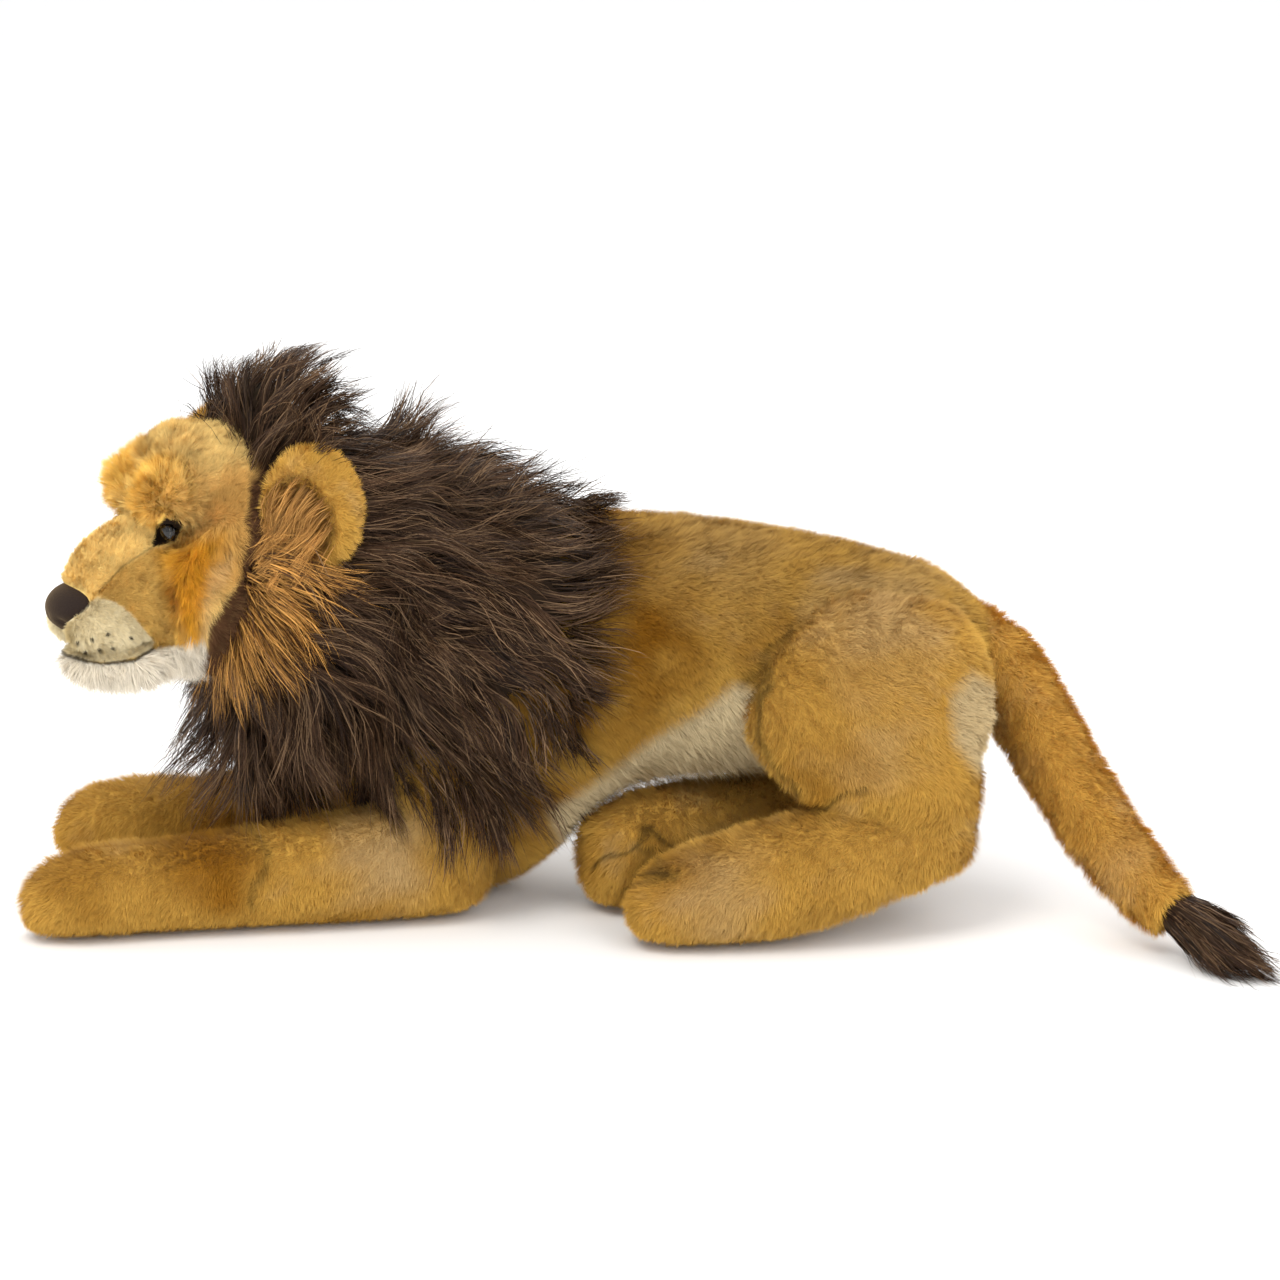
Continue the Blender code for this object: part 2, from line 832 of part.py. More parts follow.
def foot_swing():
    """Room under the belly for the right hind foot through its splay."""
    room = []
    for step in range(foot_swing_steps + 1):
        turn = -hip_right_range * step / foot_swing_steps
        room.append(foot_form(-1, 2 * form_gap, turn))
    for share in (0, 0.5, 1):
        room.append(shank_form(-1, 2 * form_gap, -hip_right_range * share))
    return room


tail_root = Vector((tail_x, 0, tail_z))


def tail_stations(first, last, pivot, turn):
    """Rings of the tail square to its path, turned about an upright line."""
    path = []
    for run, sweep, drop, width in tail_path_shares:
        path.append(tail_root + Vector((run * tail_run, -sweep * tail_sweep, -drop * tail_drop)))
    stations = []
    for index in range(first, last + 1):
        before = path[max(index - 1, 0)]
        after = path[min(index + 1, len(path) - 1)]
        heading = (after - before).normalized()
        across = upward.cross(heading).normalized()
        radius = tail_path_shares[index][3] * tail_radius
        axes = turned_axes((across, heading.cross(across)), turn)
        stations.append((turned(path[index], pivot, turn), *axes, radius, radius))
    return stations


def tail_mid_point():
    run, sweep, drop, width = tail_path_shares[tail_mid_station]
    return tail_root + Vector((run * tail_run, -sweep * tail_sweep, -drop * tail_drop))


def tail_base_form(grow=0, turn=0):
    return loft(tail_stations(0, tail_mid_station, tail_root, turn), grow)


def tail_end_form(grow=0, turn=0):
    last = len(tail_path_shares) - 1
    stations = tail_stations(tail_mid_station, last, tail_mid_point(), turn)
    return loft(stations, grow, 0, tail_end_cap)


def tail_tuft_form():
    start = tail_root + Vector((tail_run, -tail_sweep, -tail_drop))
    reach = Vector((tail_tuft_run, -tail_tuft_sweep, -tail_tuft_drop))
    across = upward.cross(reach).normalized()
    rise = reach.normalized().cross(across)
    stations = []
    for share, width in tail_tuft_station_shares:
        radius = width * tail_tuft_radius
        stations.append((start + reach * share, across, rise, radius, radius))
    return loft(stations, 0, tail_tuft_cap, tail_tuft_cap)


def tilted_block(low, high, x, z, tilt):
    along = Vector((math.cos(tilt), 0, math.sin(tilt)))
    axes = (along, Vector((0, 1, 0)), Vector((-along.z, 0, along.x)))
    return block(low, high, axes, Vector((x, 0, z)))


def build_torso():
    hips = []
    for side in (1, -1):
        hips += [drum_form(side, turning_gap), knee_form(side, form_gap)]
    shoulders = [post_form(1, turning_gap), post_form(-1, turning_gap)]
    tail_room = [ball(tail_root, clear_radius(tail_root_radius))]
    for share in (-1, 0, 1):
        tail_room.append(tail_base_form(form_gap, share * tail_root_range))
    near_hip = [shank_form(1, form_gap), foot_form(1, form_gap)]
    below = foot_swing()
    origin = Vector((0, 0, 0))
    piece("torso", torso_form(), gold, origin,
          cut=[hood_swing(), keel_room(1), keel_room(-1), floor_room(), *shoulders, *hips,
               *near_hip, *below, *tail_room])
    panel = torso_form(panel_thickness)
    core = torso_form(form_gap)
    wide = torso_half_width + overrun
    belly = tilted_block((0, -wide, -torso_height), (belly_length, wide, 0),
                         belly_front, belly_level, belly_tilt)
    piece("belly_panel", belly, cream, origin, kept=[panel],
          cut=[core, *shoulders, *hips, *near_hip, *below, cape_form(form_gap)])
    rump = tilted_block((-rump_depth, -rump_half_width, -rump_half_height),
                        (overrun, rump_half_width, rump_half_height),
                        torso_front + torso_length, rump_level, rump_tilt)
    piece("rump_patch", rump, cream, origin, kept=[panel],
          cut=[core, *hips, *near_hip, *below, *tail_room])
    piece("mane_cape", cape_form(), mane_brown, origin,
          cut=[core, hood_swing(), front_sector(), *shoulders])


def build_neck_and_head():
    piece("neck_filling", neck_ball(neck_radius, neck_radius), filling_white, neck)
    neck_room = neck_hollow()
    eye_cuts = []
    for side in (1, -1):
        eye_cuts += [eye_patch(side, gap), eye_hole(side)]
    patches = [eye_patch(1, gap), eye_patch(-1, gap), eye_room(1), eye_room(-1)]
    piece("head", head_form(), gold_light, neck, cut=[neck_room, *eye_cuts])
    core = head_form(form_gap)
    snout = muzzle_form(form_gap)
    piece("muzzle", muzzle_form(), gold_light, neck, cut=[core, *patches])
    piece("nose", nose_form(), velour_brown, neck, cut=[core, snout], roughness=0.6)
    middle = block((0, -gap, -neck_z), (neck_z, gap, neck_z),
                   (forward, leftward, upward), neck)
    for side, label in ((1, "left"), (-1, "right")):
        piece(f"brow_{label}", brow_form(side), gold_light, neck,
              cut=[core, snout, middle, *patches])
        piece(f"cheek_{label}", cheek_form(side), gold, neck,
              cut=[core, snout, chin_form(form_gap), lip_form(side, form_gap), *patches])
        piece(f"lip_pad_{label}", lip_form(side), cream, neck,
              cut=[core, snout, middle, nose_form(form_gap)])
        piece(f"eye_{label}", eye_dome(side), eye_black, neck, joined=[eye_stem(side)],
              roughness=0.08)
        piece(f"eye_washer_{label}", eye_washer(side), washer_white, neck,
              cut=[eye_stem(side, gap)], roughness=0.5)
        piece(f"eye_patch_{label}", eye_patch(side), felt_brown, neck,
              cut=[eye_stem(side, gap)])
        piece(f"cheek_tuft_{label}", tuft_form(side), tuft_orange, neck,
              cut=[core, head_form(band_thickness + form_gap), neck_room])
    piece("chin", chin_form(), white_plush, neck,
          cut=[core, snout, lip_form(1, form_gap), lip_form(-1, form_gap),
               nose_form(form_gap)])


def build_band_and_ruff():
    band_back = head_reach + band_back_share * head_half_length
    slab = block((band_back, -2 * head_half_width, -2 * head_half_width),
                 (band_back + band_width, 2 * head_half_width, 3 * head_half_width),
                 (forward, leftward, upward), neck)
    core = head_form(form_gap)
    cheeks = [cheek_form(1, form_gap), cheek_form(-1, form_gap)]
    piece("face_band", head_form(band_thickness), mane_brown, neck, kept=[slab],
          cut=[core, *cheeks, neck_hollow()])
    behind = block((-2 * hood_radius, -2 * hood_radius, -2 * hood_radius),
                   (-hood_back, 2 * hood_radius, 2 * hood_radius),
                   (forward, leftward, upward), neck)
    room = [behind, neck_hollow(), head_form(band_thickness + form_gap),
            chin_form(form_gap), *cheeks]
    for side in (1, -1):
        room.append(tuft_form(side, form_gap))
        room += ear_swing(side)
    piece("mane_ruff", ball(neck, hood_radius), mane_brown, neck, joined=[ruff_form()], cut=room)


def build_ears():
    for side, label in ((1, "left"), (-1, "right")):
        root = ear_root(side)
        piece(f"ear_{label}", ear_form(side), gold, root,
              cut=[lining_form(side, form_gap)])
        piece(f"ear_lining_{label}", lining_form(side), tuft_orange, root)


def build_legs():
    for side, label in ((1, "left"), (-1, "right")):
        piece(f"front_leg_{label}", post_form(side), gold, shoulder_point(side),
              joined=[foreleg_form(side)], cut=[floor_room()])
        piece(f"thigh_{label}", drum_form(side), gold, hip_point(side),
              joined=[knee_form(side), shank_form(side)])
        piece(f"hind_foot_{label}", foot_form(side), gold, hip_point(side),
              cut=[drum_form(side, form_gap), knee_form(side, form_gap),
                   shank_form(side, form_gap), floor_room()])


def build_tail():
    middle = tail_mid_point()
    piece("tail_base", tail_base_form(), gold, tail_root,
          joined=[ball(tail_root, tail_root_radius)],
          cut=[ball(middle, clear_radius(tail_mid_ball))])
    piece("tail_end", tail_end_form(), gold, middle, joined=[ball(middle, tail_mid_ball)])
    piece("tail_tuft", tail_tuft_form(), mane_brown, middle,
          cut=[tail_end_form(form_gap), floor_room()])


def main():
    for thing in list(bpy.data.objects):
        bpy.data.objects.remove(thing, do_unlink=True)
    build_torso()
    build_neck_and_head()
    build_band_and_ruff()
    build_ears()
    build_legs()
    build_tail()


main()
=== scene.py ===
import math

import bpy
import numpy as np
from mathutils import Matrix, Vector
from mathutils.bvhtree import BVHTree
from mathutils.kdtree import KDTree


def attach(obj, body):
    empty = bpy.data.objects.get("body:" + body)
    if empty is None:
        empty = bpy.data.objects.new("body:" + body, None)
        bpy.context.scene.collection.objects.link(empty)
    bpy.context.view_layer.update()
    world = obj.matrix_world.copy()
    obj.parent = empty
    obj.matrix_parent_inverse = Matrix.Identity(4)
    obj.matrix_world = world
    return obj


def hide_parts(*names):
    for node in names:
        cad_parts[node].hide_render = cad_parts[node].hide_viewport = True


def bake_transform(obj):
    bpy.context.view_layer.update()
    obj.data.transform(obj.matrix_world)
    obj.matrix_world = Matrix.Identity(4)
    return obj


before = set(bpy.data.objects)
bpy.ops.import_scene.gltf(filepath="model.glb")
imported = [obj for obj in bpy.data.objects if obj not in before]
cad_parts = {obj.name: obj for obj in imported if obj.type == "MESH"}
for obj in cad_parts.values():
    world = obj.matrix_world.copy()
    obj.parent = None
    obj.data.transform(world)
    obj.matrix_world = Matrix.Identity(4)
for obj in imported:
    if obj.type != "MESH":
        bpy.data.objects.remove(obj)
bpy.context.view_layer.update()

mm = 0.001
upright = np.array((0.0, 0.0, 1.0))

# the head's own directions: ahead along the snout, to its left, and up, from the neck's pivot
headYaw = math.radians(28)
neckPlace = np.array((-0.075, -0.020, 0.240))
headAhead = np.array((-math.cos(headYaw), -math.sin(headYaw), 0))
headLeft = np.array((math.sin(headYaw), -math.cos(headYaw), 0))


def linear(hexColour):
    parts = [int(hexColour[i:i + 2], 16) / 255 for i in (1, 3, 5)]
    return np.array([p / 12.92 if p <= 0.04045 else ((p + 0.055) / 1.055) ** 2.4 for p in parts])


def unit(vectors):
    return vectors / np.maximum(np.linalg.norm(vectors, axis=-1, keepdims=True), 1e-9)


def dot(a, b):
    return (a * b).sum(-1, keepdims=True)


def headPoint(ahead, left, up):
    return neckPlace + (headAhead * ahead + headLeft * left + upright * up) * mm


def headShares(points):
    away = (points - neckPlace) / mm
    return np.stack([away @ headAhead, away @ headLeft, away[..., 2]], -1)


# camera, floor and light
camera = {"target": (0.130, 0, 0.1817), "distance": 2.4, "elevation": 14,
          "focalPx": 3429, "picturePx": 1280, "sensorMm": 36}
studio = {"sky": 1.08, "floorSize": 24, "lamps": {  # place, width, power and tone of each lamp
    "keyLamp": ((-0.9, -1.6, 2.6), 1.6, 46, "#fffaf2"),
    "fillLamp": ((1.6, -1.9, 1.5), 1.8, 20, "#ffffff"),
    "rimLamp": ((0.6, 2.0, 2.4), 1.8, 30, "#ffffff"),
    "catchLamp": ((-2.1, -0.12, 0.8), 0.16, 4, "#ffffff")}}
elevation = math.radians(camera["elevation"])
cameraBack = np.array((0, -math.cos(elevation), math.sin(elevation)))
cameraUp = np.array((0, math.sin(elevation), math.cos(elevation)))
cameraPlace = np.array(camera["target"]) + cameraBack * camera["distance"]


def photoPlace(points):  # where a point lands in the 1280 px picture
    away = points - cameraPlace
    depth = -(away @ cameraBack)
    middle = camera["picturePx"] / 2
    across = middle + camera["focalPx"] * away[..., 0] / depth
    down = middle - camera["focalPx"] * (away @ cameraUp) / depth
    return np.stack([across, down], -1)


def makeCameraAndLight():
    view = bpy.data.cameras.new("camera")
    view.sensor_width = camera["sensorMm"]
    view.lens = camera["focalPx"] / camera["picturePx"] * camera["sensorMm"]
    view.clip_end = 50
    holder = bpy.data.objects.new("camera", view)
    holder.location = cameraPlace
    holder.rotation_euler = (math.pi / 2 - elevation, 0, 0)
    bpy.context.scene.collection.objects.link(holder)
    bpy.context.scene.camera = holder
    bpy.context.scene.view_settings.view_transform = "Standard"
    bpy.context.scene.view_settings.look = "None"

    for name, (place, width, power, tone) in studio["lamps"].items():
        lamp = bpy.data.lights.new(name, "AREA")
        lamp.shape = "DISK"
        lamp.size = width
        lamp.energy = power
        lamp.color = linear(tone)
        stand = bpy.data.objects.new(name, lamp)
        stand.location = place
        aim = Vector(camera["target"]) - Vector(place)
        stand.rotation_euler = aim.to_track_quat("-Z", "Y").to_euler()
        bpy.context.scene.collection.objects.link(stand)
    sky = bpy.data.worlds.new("softbox")
    sky.use_nodes = True
    sky.node_tree.nodes["Background"].inputs["Color"].default_value = (1, 1, 1, 1)
    sky.node_tree.nodes["Background"].inputs["Strength"].default_value = studio["sky"]
    bpy.context.scene.world = sky

    pickNone()
    bpy.ops.mesh.primitive_plane_add(size=studio["floorSize"], location=(0, 6, 0))
    floor = bpy.context.object
    floor.name = "floor"
    floor.data.materials.append(paper)
    print("camera, floor and light are in place")


# materials
def addNode(material, kind, settings, links=()):
    node = material.node_tree.nodes.new(kind)
    for key, value in settings.items():
        if key in node.inputs:
            node.inputs[key].default_value = value
        else:
            setattr(node, key, value)
    for output, target, socket in links:
        material.node_tree.links.new(node.outputs[output], target.inputs[socket])
    return node


plasticIor = 1.5  # acrylic, polyester and moulded plastic all come close to this
fibreGloss, clothGloss = 0.15, 0.12  # rough fibres mirror little


def newMaterial(name, roughness, sheen=0, colour="#808080", coat=0, gloss=0.5):
    material = bpy.data.materials.new(name)
    material.use_nodes = True
    shader = material.node_tree.nodes["Principled BSDF"]
    shader.inputs["Base Color"].default_value = (*linear(colour), 1)
    shader.inputs["Roughness"].default_value = roughness
    shader.inputs["IOR"].default_value = plasticIor
    shader.inputs["Sheen Weight"].default_value = sheen
    shader.inputs["Sheen Roughness"].default_value = 0.5
    shader.inputs["Sheen Tint"].default_value = (*linear("#e8c48c"), 1)
    shader.inputs["Coat Weight"].default_value = coat
    shader.inputs["Specular IOR Level"].default_value = gloss
    shader.inputs["Coat Roughness"].default_value = 0.04
    return material, shader


def speckle(material, shader, grainMm, low, high):
    # noise in real millimetres lightens and darkens the colour; gives the node that takes the colour
    scale = addNode(material, "ShaderNodeVectorMath", {"operation": "SCALE"},
                    [("Vector", shader, "Base Color")])
    ramp = addNode(material, "ShaderNodeMapRange", {"To Min": low, "To Max": high},
                   [("Result", scale, "Scale")])
    noise = addNode(material, "ShaderNodeTexNoise", {"Scale": 1 / (grainMm * mm), "Detail": 3.0},
                    [("Fac", ramp, "Value")])
    addNode(material, "ShaderNodeTexCoord", {}, [("Object", noise, "Vector")])
    return scale, noise


def fibreMaterial(name, roughness, sheen, grainMm):
    # each fibre keeps its own dyed tint, and fine noise along it breaks the colour up as crimp does
    material, shader = newMaterial(name, roughness, sheen, gloss=fibreGloss)
    scale = speckle(material, shader, grainMm, 0.84, 1.14)[0]
    addNode(material, "ShaderNodeAttribute", {"attribute_name": "pileTint"}, [("Color", scale, 0)])
    return material


def wovenMaterial(name, colour, threadMm, roughness=0.9, sheen=0.2, rise=0.25):
    # knitted or felted cloth: a fine nap whose threads both tint and roughen the surface
    material, shader = newMaterial(name, roughness, sheen, colour=colour, gloss=clothGloss)
    scale, noise = speckle(material, shader, threadMm, 0.66, 1.24)
    scale.inputs[0].default_value = tuple(linear(colour))
    bump = addNode(material, "ShaderNodeBump", {"Strength": rise, "Distance": 0.4 * mm},
                   [("Normal", shader, "Normal")])
    material.node_tree.links.new(noise.outputs["Fac"], bump.inputs["Height"])
    return material


def plasticMaterial(name, colour, roughness, coat):
    # moulded plastic: clear gloss, with a faint cloudiness that stops it looking like a mirror
    material, shader = newMaterial(name, roughness, colour=colour, coat=coat)
    scale = speckle(material, shader, 2.5, 0.85, 1.15)[0]
    scale.inputs[0].default_value = tuple(linear(colour))
    return material


# matt white paper: even and dull, so it takes only soft shadows
paper = newMaterial("matt white paper", 0.9, colour="#f6f6f6")[0]
# short acrylic pile: dull, with a faint glow where it is seen from the side
plushFibre = fibreMaterial("acrylic plush pile", 0.85, 0.10, 1.2)
# long brushed acrylic: silky, with a line of light along each strand
longFibre = fibreMaterial("long acrylic mane fibre", 0.55, 0.0, 2.0)
# knitted backing dyed like its pile: a matt ground between the fibres
goldBacking = fibreMaterial("dyed knitted backing", 0.95, 0.1, 0.9)
# brown knitted backing: the dark that shows between the locks of the mane
brownBacking = wovenMaterial("brown knitted backing", "#2a1e15", 1.5)
# short velour: a soft nap; its 0.3 mm grain is drawn at 1 mm so that it shows
noseVelour = wovenMaterial("brown nose velour", "#241b19", 1.0, 0.8, 0.25, 0.8)
# polished black plastic: wet-looking, with sharp highlights
blackGloss = plasticMaterial("black eye plastic", "#060505", 0.05, 0)
# satin grey plastic: a thin pale edge round the pupil
silverRing = plasticMaterial("grey iris plastic", "#5c5a54", 0.35, 0.4)
# plain moulded plastic, out of sight inside the head
washerPlastic = plasticMaterial("grey locking washer plastic", "#d0cdc4", 0.4, 0)


# modelling by hand
def pickNone():
    bpy.ops.object.select_all(action="DESELECT")


def pick(*objects):
    pickNone()
    for thing in objects:
        thing.select_set(True)
    bpy.context.view_layer.objects.active = objects[0]


def applyModifier(thing, kind, **settings):
    pick(thing)
    bpy.ops.object.modifier_add(type=kind)
    modifier = thing.modifiers[-1]
    for key, value in settings.items():
        setattr(modifier, key, value)
    bpy.ops.object.modifier_apply(modifier=modifier.name)


def addBall(place, halves, turn=(0, 0, 0)):  # places and halves in mm, turn in degrees
    pickNone()
    bpy.ops.mesh.primitive_uv_sphere_add(segments=32, ring_count=20, radius=mm,
                                         location=Vector(place) * mm,
                                         rotation=[math.radians(t) for t in turn])
    bpy.context.object.scale = halves
    return bpy.context.object


def addHeadBall(ahead, left, up, halves, pitch=0, roll=0, yaw=0):
    place = headPoint(ahead, left, up) / mm
    return addBall(place, halves, (roll, pitch, 180 + math.degrees(headYaw) + yaw))


def addLoft(stations, place=(0, 0), yaw=0, sides=28):  # stations: x, low, high, half width, mm
    pickNone()
    bpy.ops.mesh.primitive_circle_add(vertices=sides, radius=mm, fill_type="NGON",
                                      rotation=(0, math.pi / 2, 0))
    form = bpy.context.object
    bpy.ops.object.transform_apply(location=False, rotation=True, scale=True)
    bpy.ops.object.mode_set(mode="EDIT")
    was = (0, 0, 1, 1)
    for index, (x, low, high, half) in enumerate(stations):
        now = (x, (low + high) / 2, (high - low) / 2, half)
        step = ((now[0] - was[0]) * mm, 0, (now[1] - was[1]) * mm)
        if index:
            bpy.ops.mesh.extrude_region_move(TRANSFORM_OT_translate={"value": step})
        else:
            bpy.ops.transform.translate(value=step)
        centre = (now[0] * mm, 0, now[1] * mm)
        bpy.ops.transform.resize(value=(1, now[3] / was[3], now[2] / was[2]), center_override=centre)
        was = now
    bpy.ops.mesh.select_all(action="SELECT")
    bpy.ops.mesh.normals_make_consistent(inside=False)
    bpy.ops.object.mode_set(mode="OBJECT")
    form.location = (place[0] * mm, place[1] * mm, 0)
    form.rotation_euler = (0, 0, math.radians(yaw))
    applyModifier(form, "SUBSURF", levels=2, render_levels=2)
    return form


def makeSkin(name, forms, voxel, smoothing, backing, floor=None):
    # separate stuffed forms become one sewn skin, settled flat where it meets the floor
    pick(*forms)
    if len(forms) > 1:
        bpy.ops.object.join()
    bpy.ops.object.transform_apply(location=True, rotation=True, scale=True)
    skin = bpy.context.object
    applyModifier(skin, "REMESH", mode="VOXEL", voxel_size=voxel * mm)
    applyModifier(skin, "SMOOTH", factor=0.5, iterations=smoothing)
    skin.name = name
    skin.data.name = name
    if floor is not None:
        places = readPlaces(skin)
        places[:, 2] = np.maximum(places[:, 2], floor * mm)
        writePlaces(skin, places)
    skin.data.materials.clear()
    skin.data.materials.append(backing)
    bpy.ops.object.shade_smooth()
    return skin


stuffing = {"quality": 4, "pressure": 4, "frames": 12}


def stuff(skin, cap):
    # the sewn cover swells under its filling, and no point moves further than the cap in mm
    before = readPlaces(skin)
    pick(skin)
    bpy.ops.object.modifier_add(type="CLOTH")
    cloth = skin.modifiers[-1]
    cloth.settings.quality = stuffing["quality"]
    cloth.settings.use_pressure = True
    cloth.settings.uniform_pressure_force = stuffing["pressure"]
    cloth.settings.effector_weights.gravity = 0
    cloth.point_cache.frame_start, cloth.point_cache.frame_end = 1, stuffing["frames"]
    for step in range(1, stuffing["frames"] + 1):
        bpy.context.scene.frame_set(step)
    bpy.ops.object.modifier_apply(modifier=cloth.name)
    bpy.context.scene.frame_set(1)
    moved = readPlaces(skin) - before
    far = np.linalg.norm(moved, axis=1, keepdims=True)
    print(skin.name, "swells by up to", round(float(far.max()) / mm, 1), "mm before the cap")
    places = before + moved * np.minimum(1, cap * mm / np.maximum(far, 1e-9))
    places[:, 2] = np.maximum(places[:, 2], mm)
    writePlaces(skin, places)


def readPlaces(thing):
    places = np.empty(len(thing.data.vertices) * 3)
    thing.data.vertices.foreach_get("co", places)
    return places.reshape(-1, 3)


def writePlaces(thing, places):
    thing.data.vertices.foreach_set("co", places.ravel())
    thing.data.update()


def readNormals(thing):
    normals = np.empty(len(thing.data.vertices) * 3)
    thing.data.vertices.foreach_get("normal", normals)
    return normals.reshape(-1, 3)


def pressGroove(skin, inside, depth):  # inside gives each point's share of the groove, 0 to 1
    places = readPlaces(skin)
    writePlaces(skin, places - readNormals(skin) * inside(places)[:, None] * depth * mm)


# patterns on the pile
def waves(points, sizeMm, seed, count=10):  # smooth random field, about -2 to 2
    source = np.random.default_rng(seed)
    ways = unit(source.normal(size=(count, 3))) * source.uniform(0.6, 1.5, (count, 1))
    phases = source.uniform(0, 2 * math.pi, count)
    return np.sin(points @ (ways * 2 * math.pi / (sizeMm * mm)).T + phases).sum(1) / math.sqrt(count / 2)


def smoothStep(value, low, high):
    share = np.clip((value - low) / (high - low), 0, 1)
    return share * share * (3 - 2 * share)


def mixed(first, second, share):
    return first + (second - first) * np.asarray(share)[..., None]


def edgeDistance(places, corners):  # picture distance to a line of points
    nearest = np.full(len(places), 1e9)
    for start, end in zip(corners[:-1], corners[1:]):
        start, end = np.array(start, float), np.array(end, float)
        along = np.clip((places - start) @ (end - start) / ((end - start) @ (end - start)), 0, 1)
        away = np.linalg.norm(places - start - along[:, None] * (end - start), axis=1)
        nearest = np.minimum(nearest, away)
    return nearest


def insideShare(places, corners, soft):  # 1 inside a picture outline and 0 outside, soft at its edge
    inside = np.zeros(len(places), bool)
    loop = list(corners) + [corners[0]]
    for (x1, y1), (x2, y2) in zip(loop[:-1], loop[1:]):
        crosses = (y1 > places[:, 1]) != (y2 > places[:, 1])
        at = x1 + (places[:, 1] - y1) * (x2 - x1) / (y2 - y1 if y2 != y1 else 1e-9)
        inside ^= crosses & (places[:, 0] < at)
    signed = edgeDistance(places, loop) * np.where(inside, 1, -1)
    return smoothStep(signed, -soft, soft)


# pile and strands
plushPlain = {  # what most pile shares: angles in degrees, lengths in mm or as a share of the fibre
    "stray": 11, "lockMm": 6, "grain": 0.06, "rootShade": 0.84, "tipShade": 1.04, "sink": 0.6,
    "liftWave": 3, "liftStray": 8, "lengthWave": 0.07, "shortest": 0.7, "longest": 1.15}
strandHabit = {"sink": 1.5, "steady": 0.62, "pull": 0.38, "looseGather": 0.2, "looseBend": 3}
backingShade = 0.85  # the backing is darker than its pile: painted shade, the dark down between the fibres
floorGap = 0.3  # mm that strands stay above the floor
pieceTriangles = 190000
# past this height and width, by axis, strands flatten within this much more (mm)
strandLimits = {2: (378, 22), 1: (128, 16)}


def scatter(skin, count, seed, weigh=None):
    mesh = skin.data
    mesh.calc_loop_triangles()
    corners = np.empty(len(mesh.loop_triangles) * 3, np.int32)
    mesh.loop_triangles.foreach_get("vertices", corners)
    corners = corners.reshape(-1, 3)
    places, normals = readPlaces(skin), readNormals(skin)
    a, b, c = places[corners[:, 0]], places[corners[:, 1]], places[corners[:, 2]]
    area = np.linalg.norm(np.cross(b - a, c - a), axis=1) / 2
    if weigh is not None:
        area = area * weigh((a + b + c) / 3, unit(normals[corners].mean(1)))
    source = np.random.default_rng(seed)
    chosen = source.choice(len(corners), count, p=area / area.sum())
    u, v = source.random((2, count))
    over = u + v > 1
    u[over], v[over] = 1 - u[over], 1 - v[over]
    shares = np.stack([1 - u - v, u, v], 1)[..., None]
    return (places[corners[chosen]] * shares).sum(1), unit((normals[corners[chosen]] * shares).sum(1))


def strandMesh(name, paths, halfWidths, facing, tints, material, twist=None, soft=0.15):
    # each strand is a tapered ribbon with its own cell of the texture map named OFBake
    count, levels = paths.shape[:2]
    segments = levels - 1
    perStrand = 2 * segments + 1
    heading = unit(paths[:, 1:] - paths[:, :-1])
    across = unit(np.cross(heading, facing[:, None]))
    if twist is not None:
        out = np.cross(across, heading)
        across = across * np.cos(twist)[:, None, None] + out * np.sin(twist)[:, None, None]
    shift = across * halfWidths[..., None]
    points = np.empty((count, perStrand, 3), np.float32)
    points[:, 0:2 * segments:2] = paths[:, :-1] - shift
    points[:, 1:2 * segments:2] = paths[:, :-1] + shift
    points[:, -1] = paths[:, -1]
    points[..., 2] = np.maximum(points[..., 2], floorGap * mm)
    faces, starts = [], []
    for level in range(segments - 1):
        starts.append(len(faces))
        faces += [2 * level, 2 * level + 1, 2 * level + 3, 2 * level + 2]
    starts.append(len(faces))
    faces += [2 * segments - 2, 2 * segments - 1, 2 * segments]
    faces, starts = np.array(faces), np.array(starts)
    first = np.arange(count)[:, None]
    corners = (faces + first * perStrand).ravel().astype(np.int32)
    mesh = bpy.data.meshes.new(name)
    mesh.vertices.add(count * perStrand)
    mesh.loops.add(len(corners))
    mesh.polygons.add(count * len(starts))
    mesh.vertices.foreach_set("co", points.ravel())
    mesh.loops.foreach_set("vertex_index", corners)
    mesh.polygons.foreach_set("loop_start", (starts + first * len(faces)).ravel().astype(np.int32))
    mesh.update(calc_edges=True)

    columns = math.ceil(math.sqrt(count * 3))
    rows = math.ceil(count / columns)
    cell = np.stack([np.arange(count) % columns, np.arange(count) // columns], 1).astype(float)
    inCell = np.empty((perStrand, 2))
    inCell[0:2 * segments:2, 0], inCell[1:2 * segments:2, 0], inCell[-1, 0] = 0.12, 0.88, 0.5
    risen = np.arange(segments) / segments * 0.88 + 0.06
    inCell[0:2 * segments:2, 1] = inCell[1:2 * segments:2, 1] = risen
    inCell[-1, 1] = 0.94
    spots = (cell[:, None] + inCell) / (columns, rows)
    layer = mesh.uv_layers.new(name="OFBake")
    layer.data.foreach_set("uv", spots.reshape(-1, 2)[corners].astype(np.float32).ravel())

    level = np.concatenate([np.repeat(np.arange(segments), 2), [segments]])
    tint = mesh.color_attributes.new(name="pileTint", type="FLOAT_COLOR", domain="POINT")
    rgba = np.ones((count, perStrand, 4), np.float32)
    rgba[..., :3] = np.clip(tints[:, level], 0, 1)
    tint.data.foreach_set("color", rgba.ravel())
    mesh.materials.append(material)
    mesh.shade_smooth()
    faceOut = np.cross(across, heading)
    levelOut = np.concatenate([faceOut, faceOut[:, -1:]], 1)
    turned = unit(soft * facing[:, None] + (1 - soft) * levelOut)[:, level]
    mesh.normals_split_custom_set_from_vertices(turned.reshape(-1, 3).astype(np.float32))
    thing = bpy.data.objects.new(name, mesh)
    bpy.context.scene.collection.objects.link(thing)
    return thing


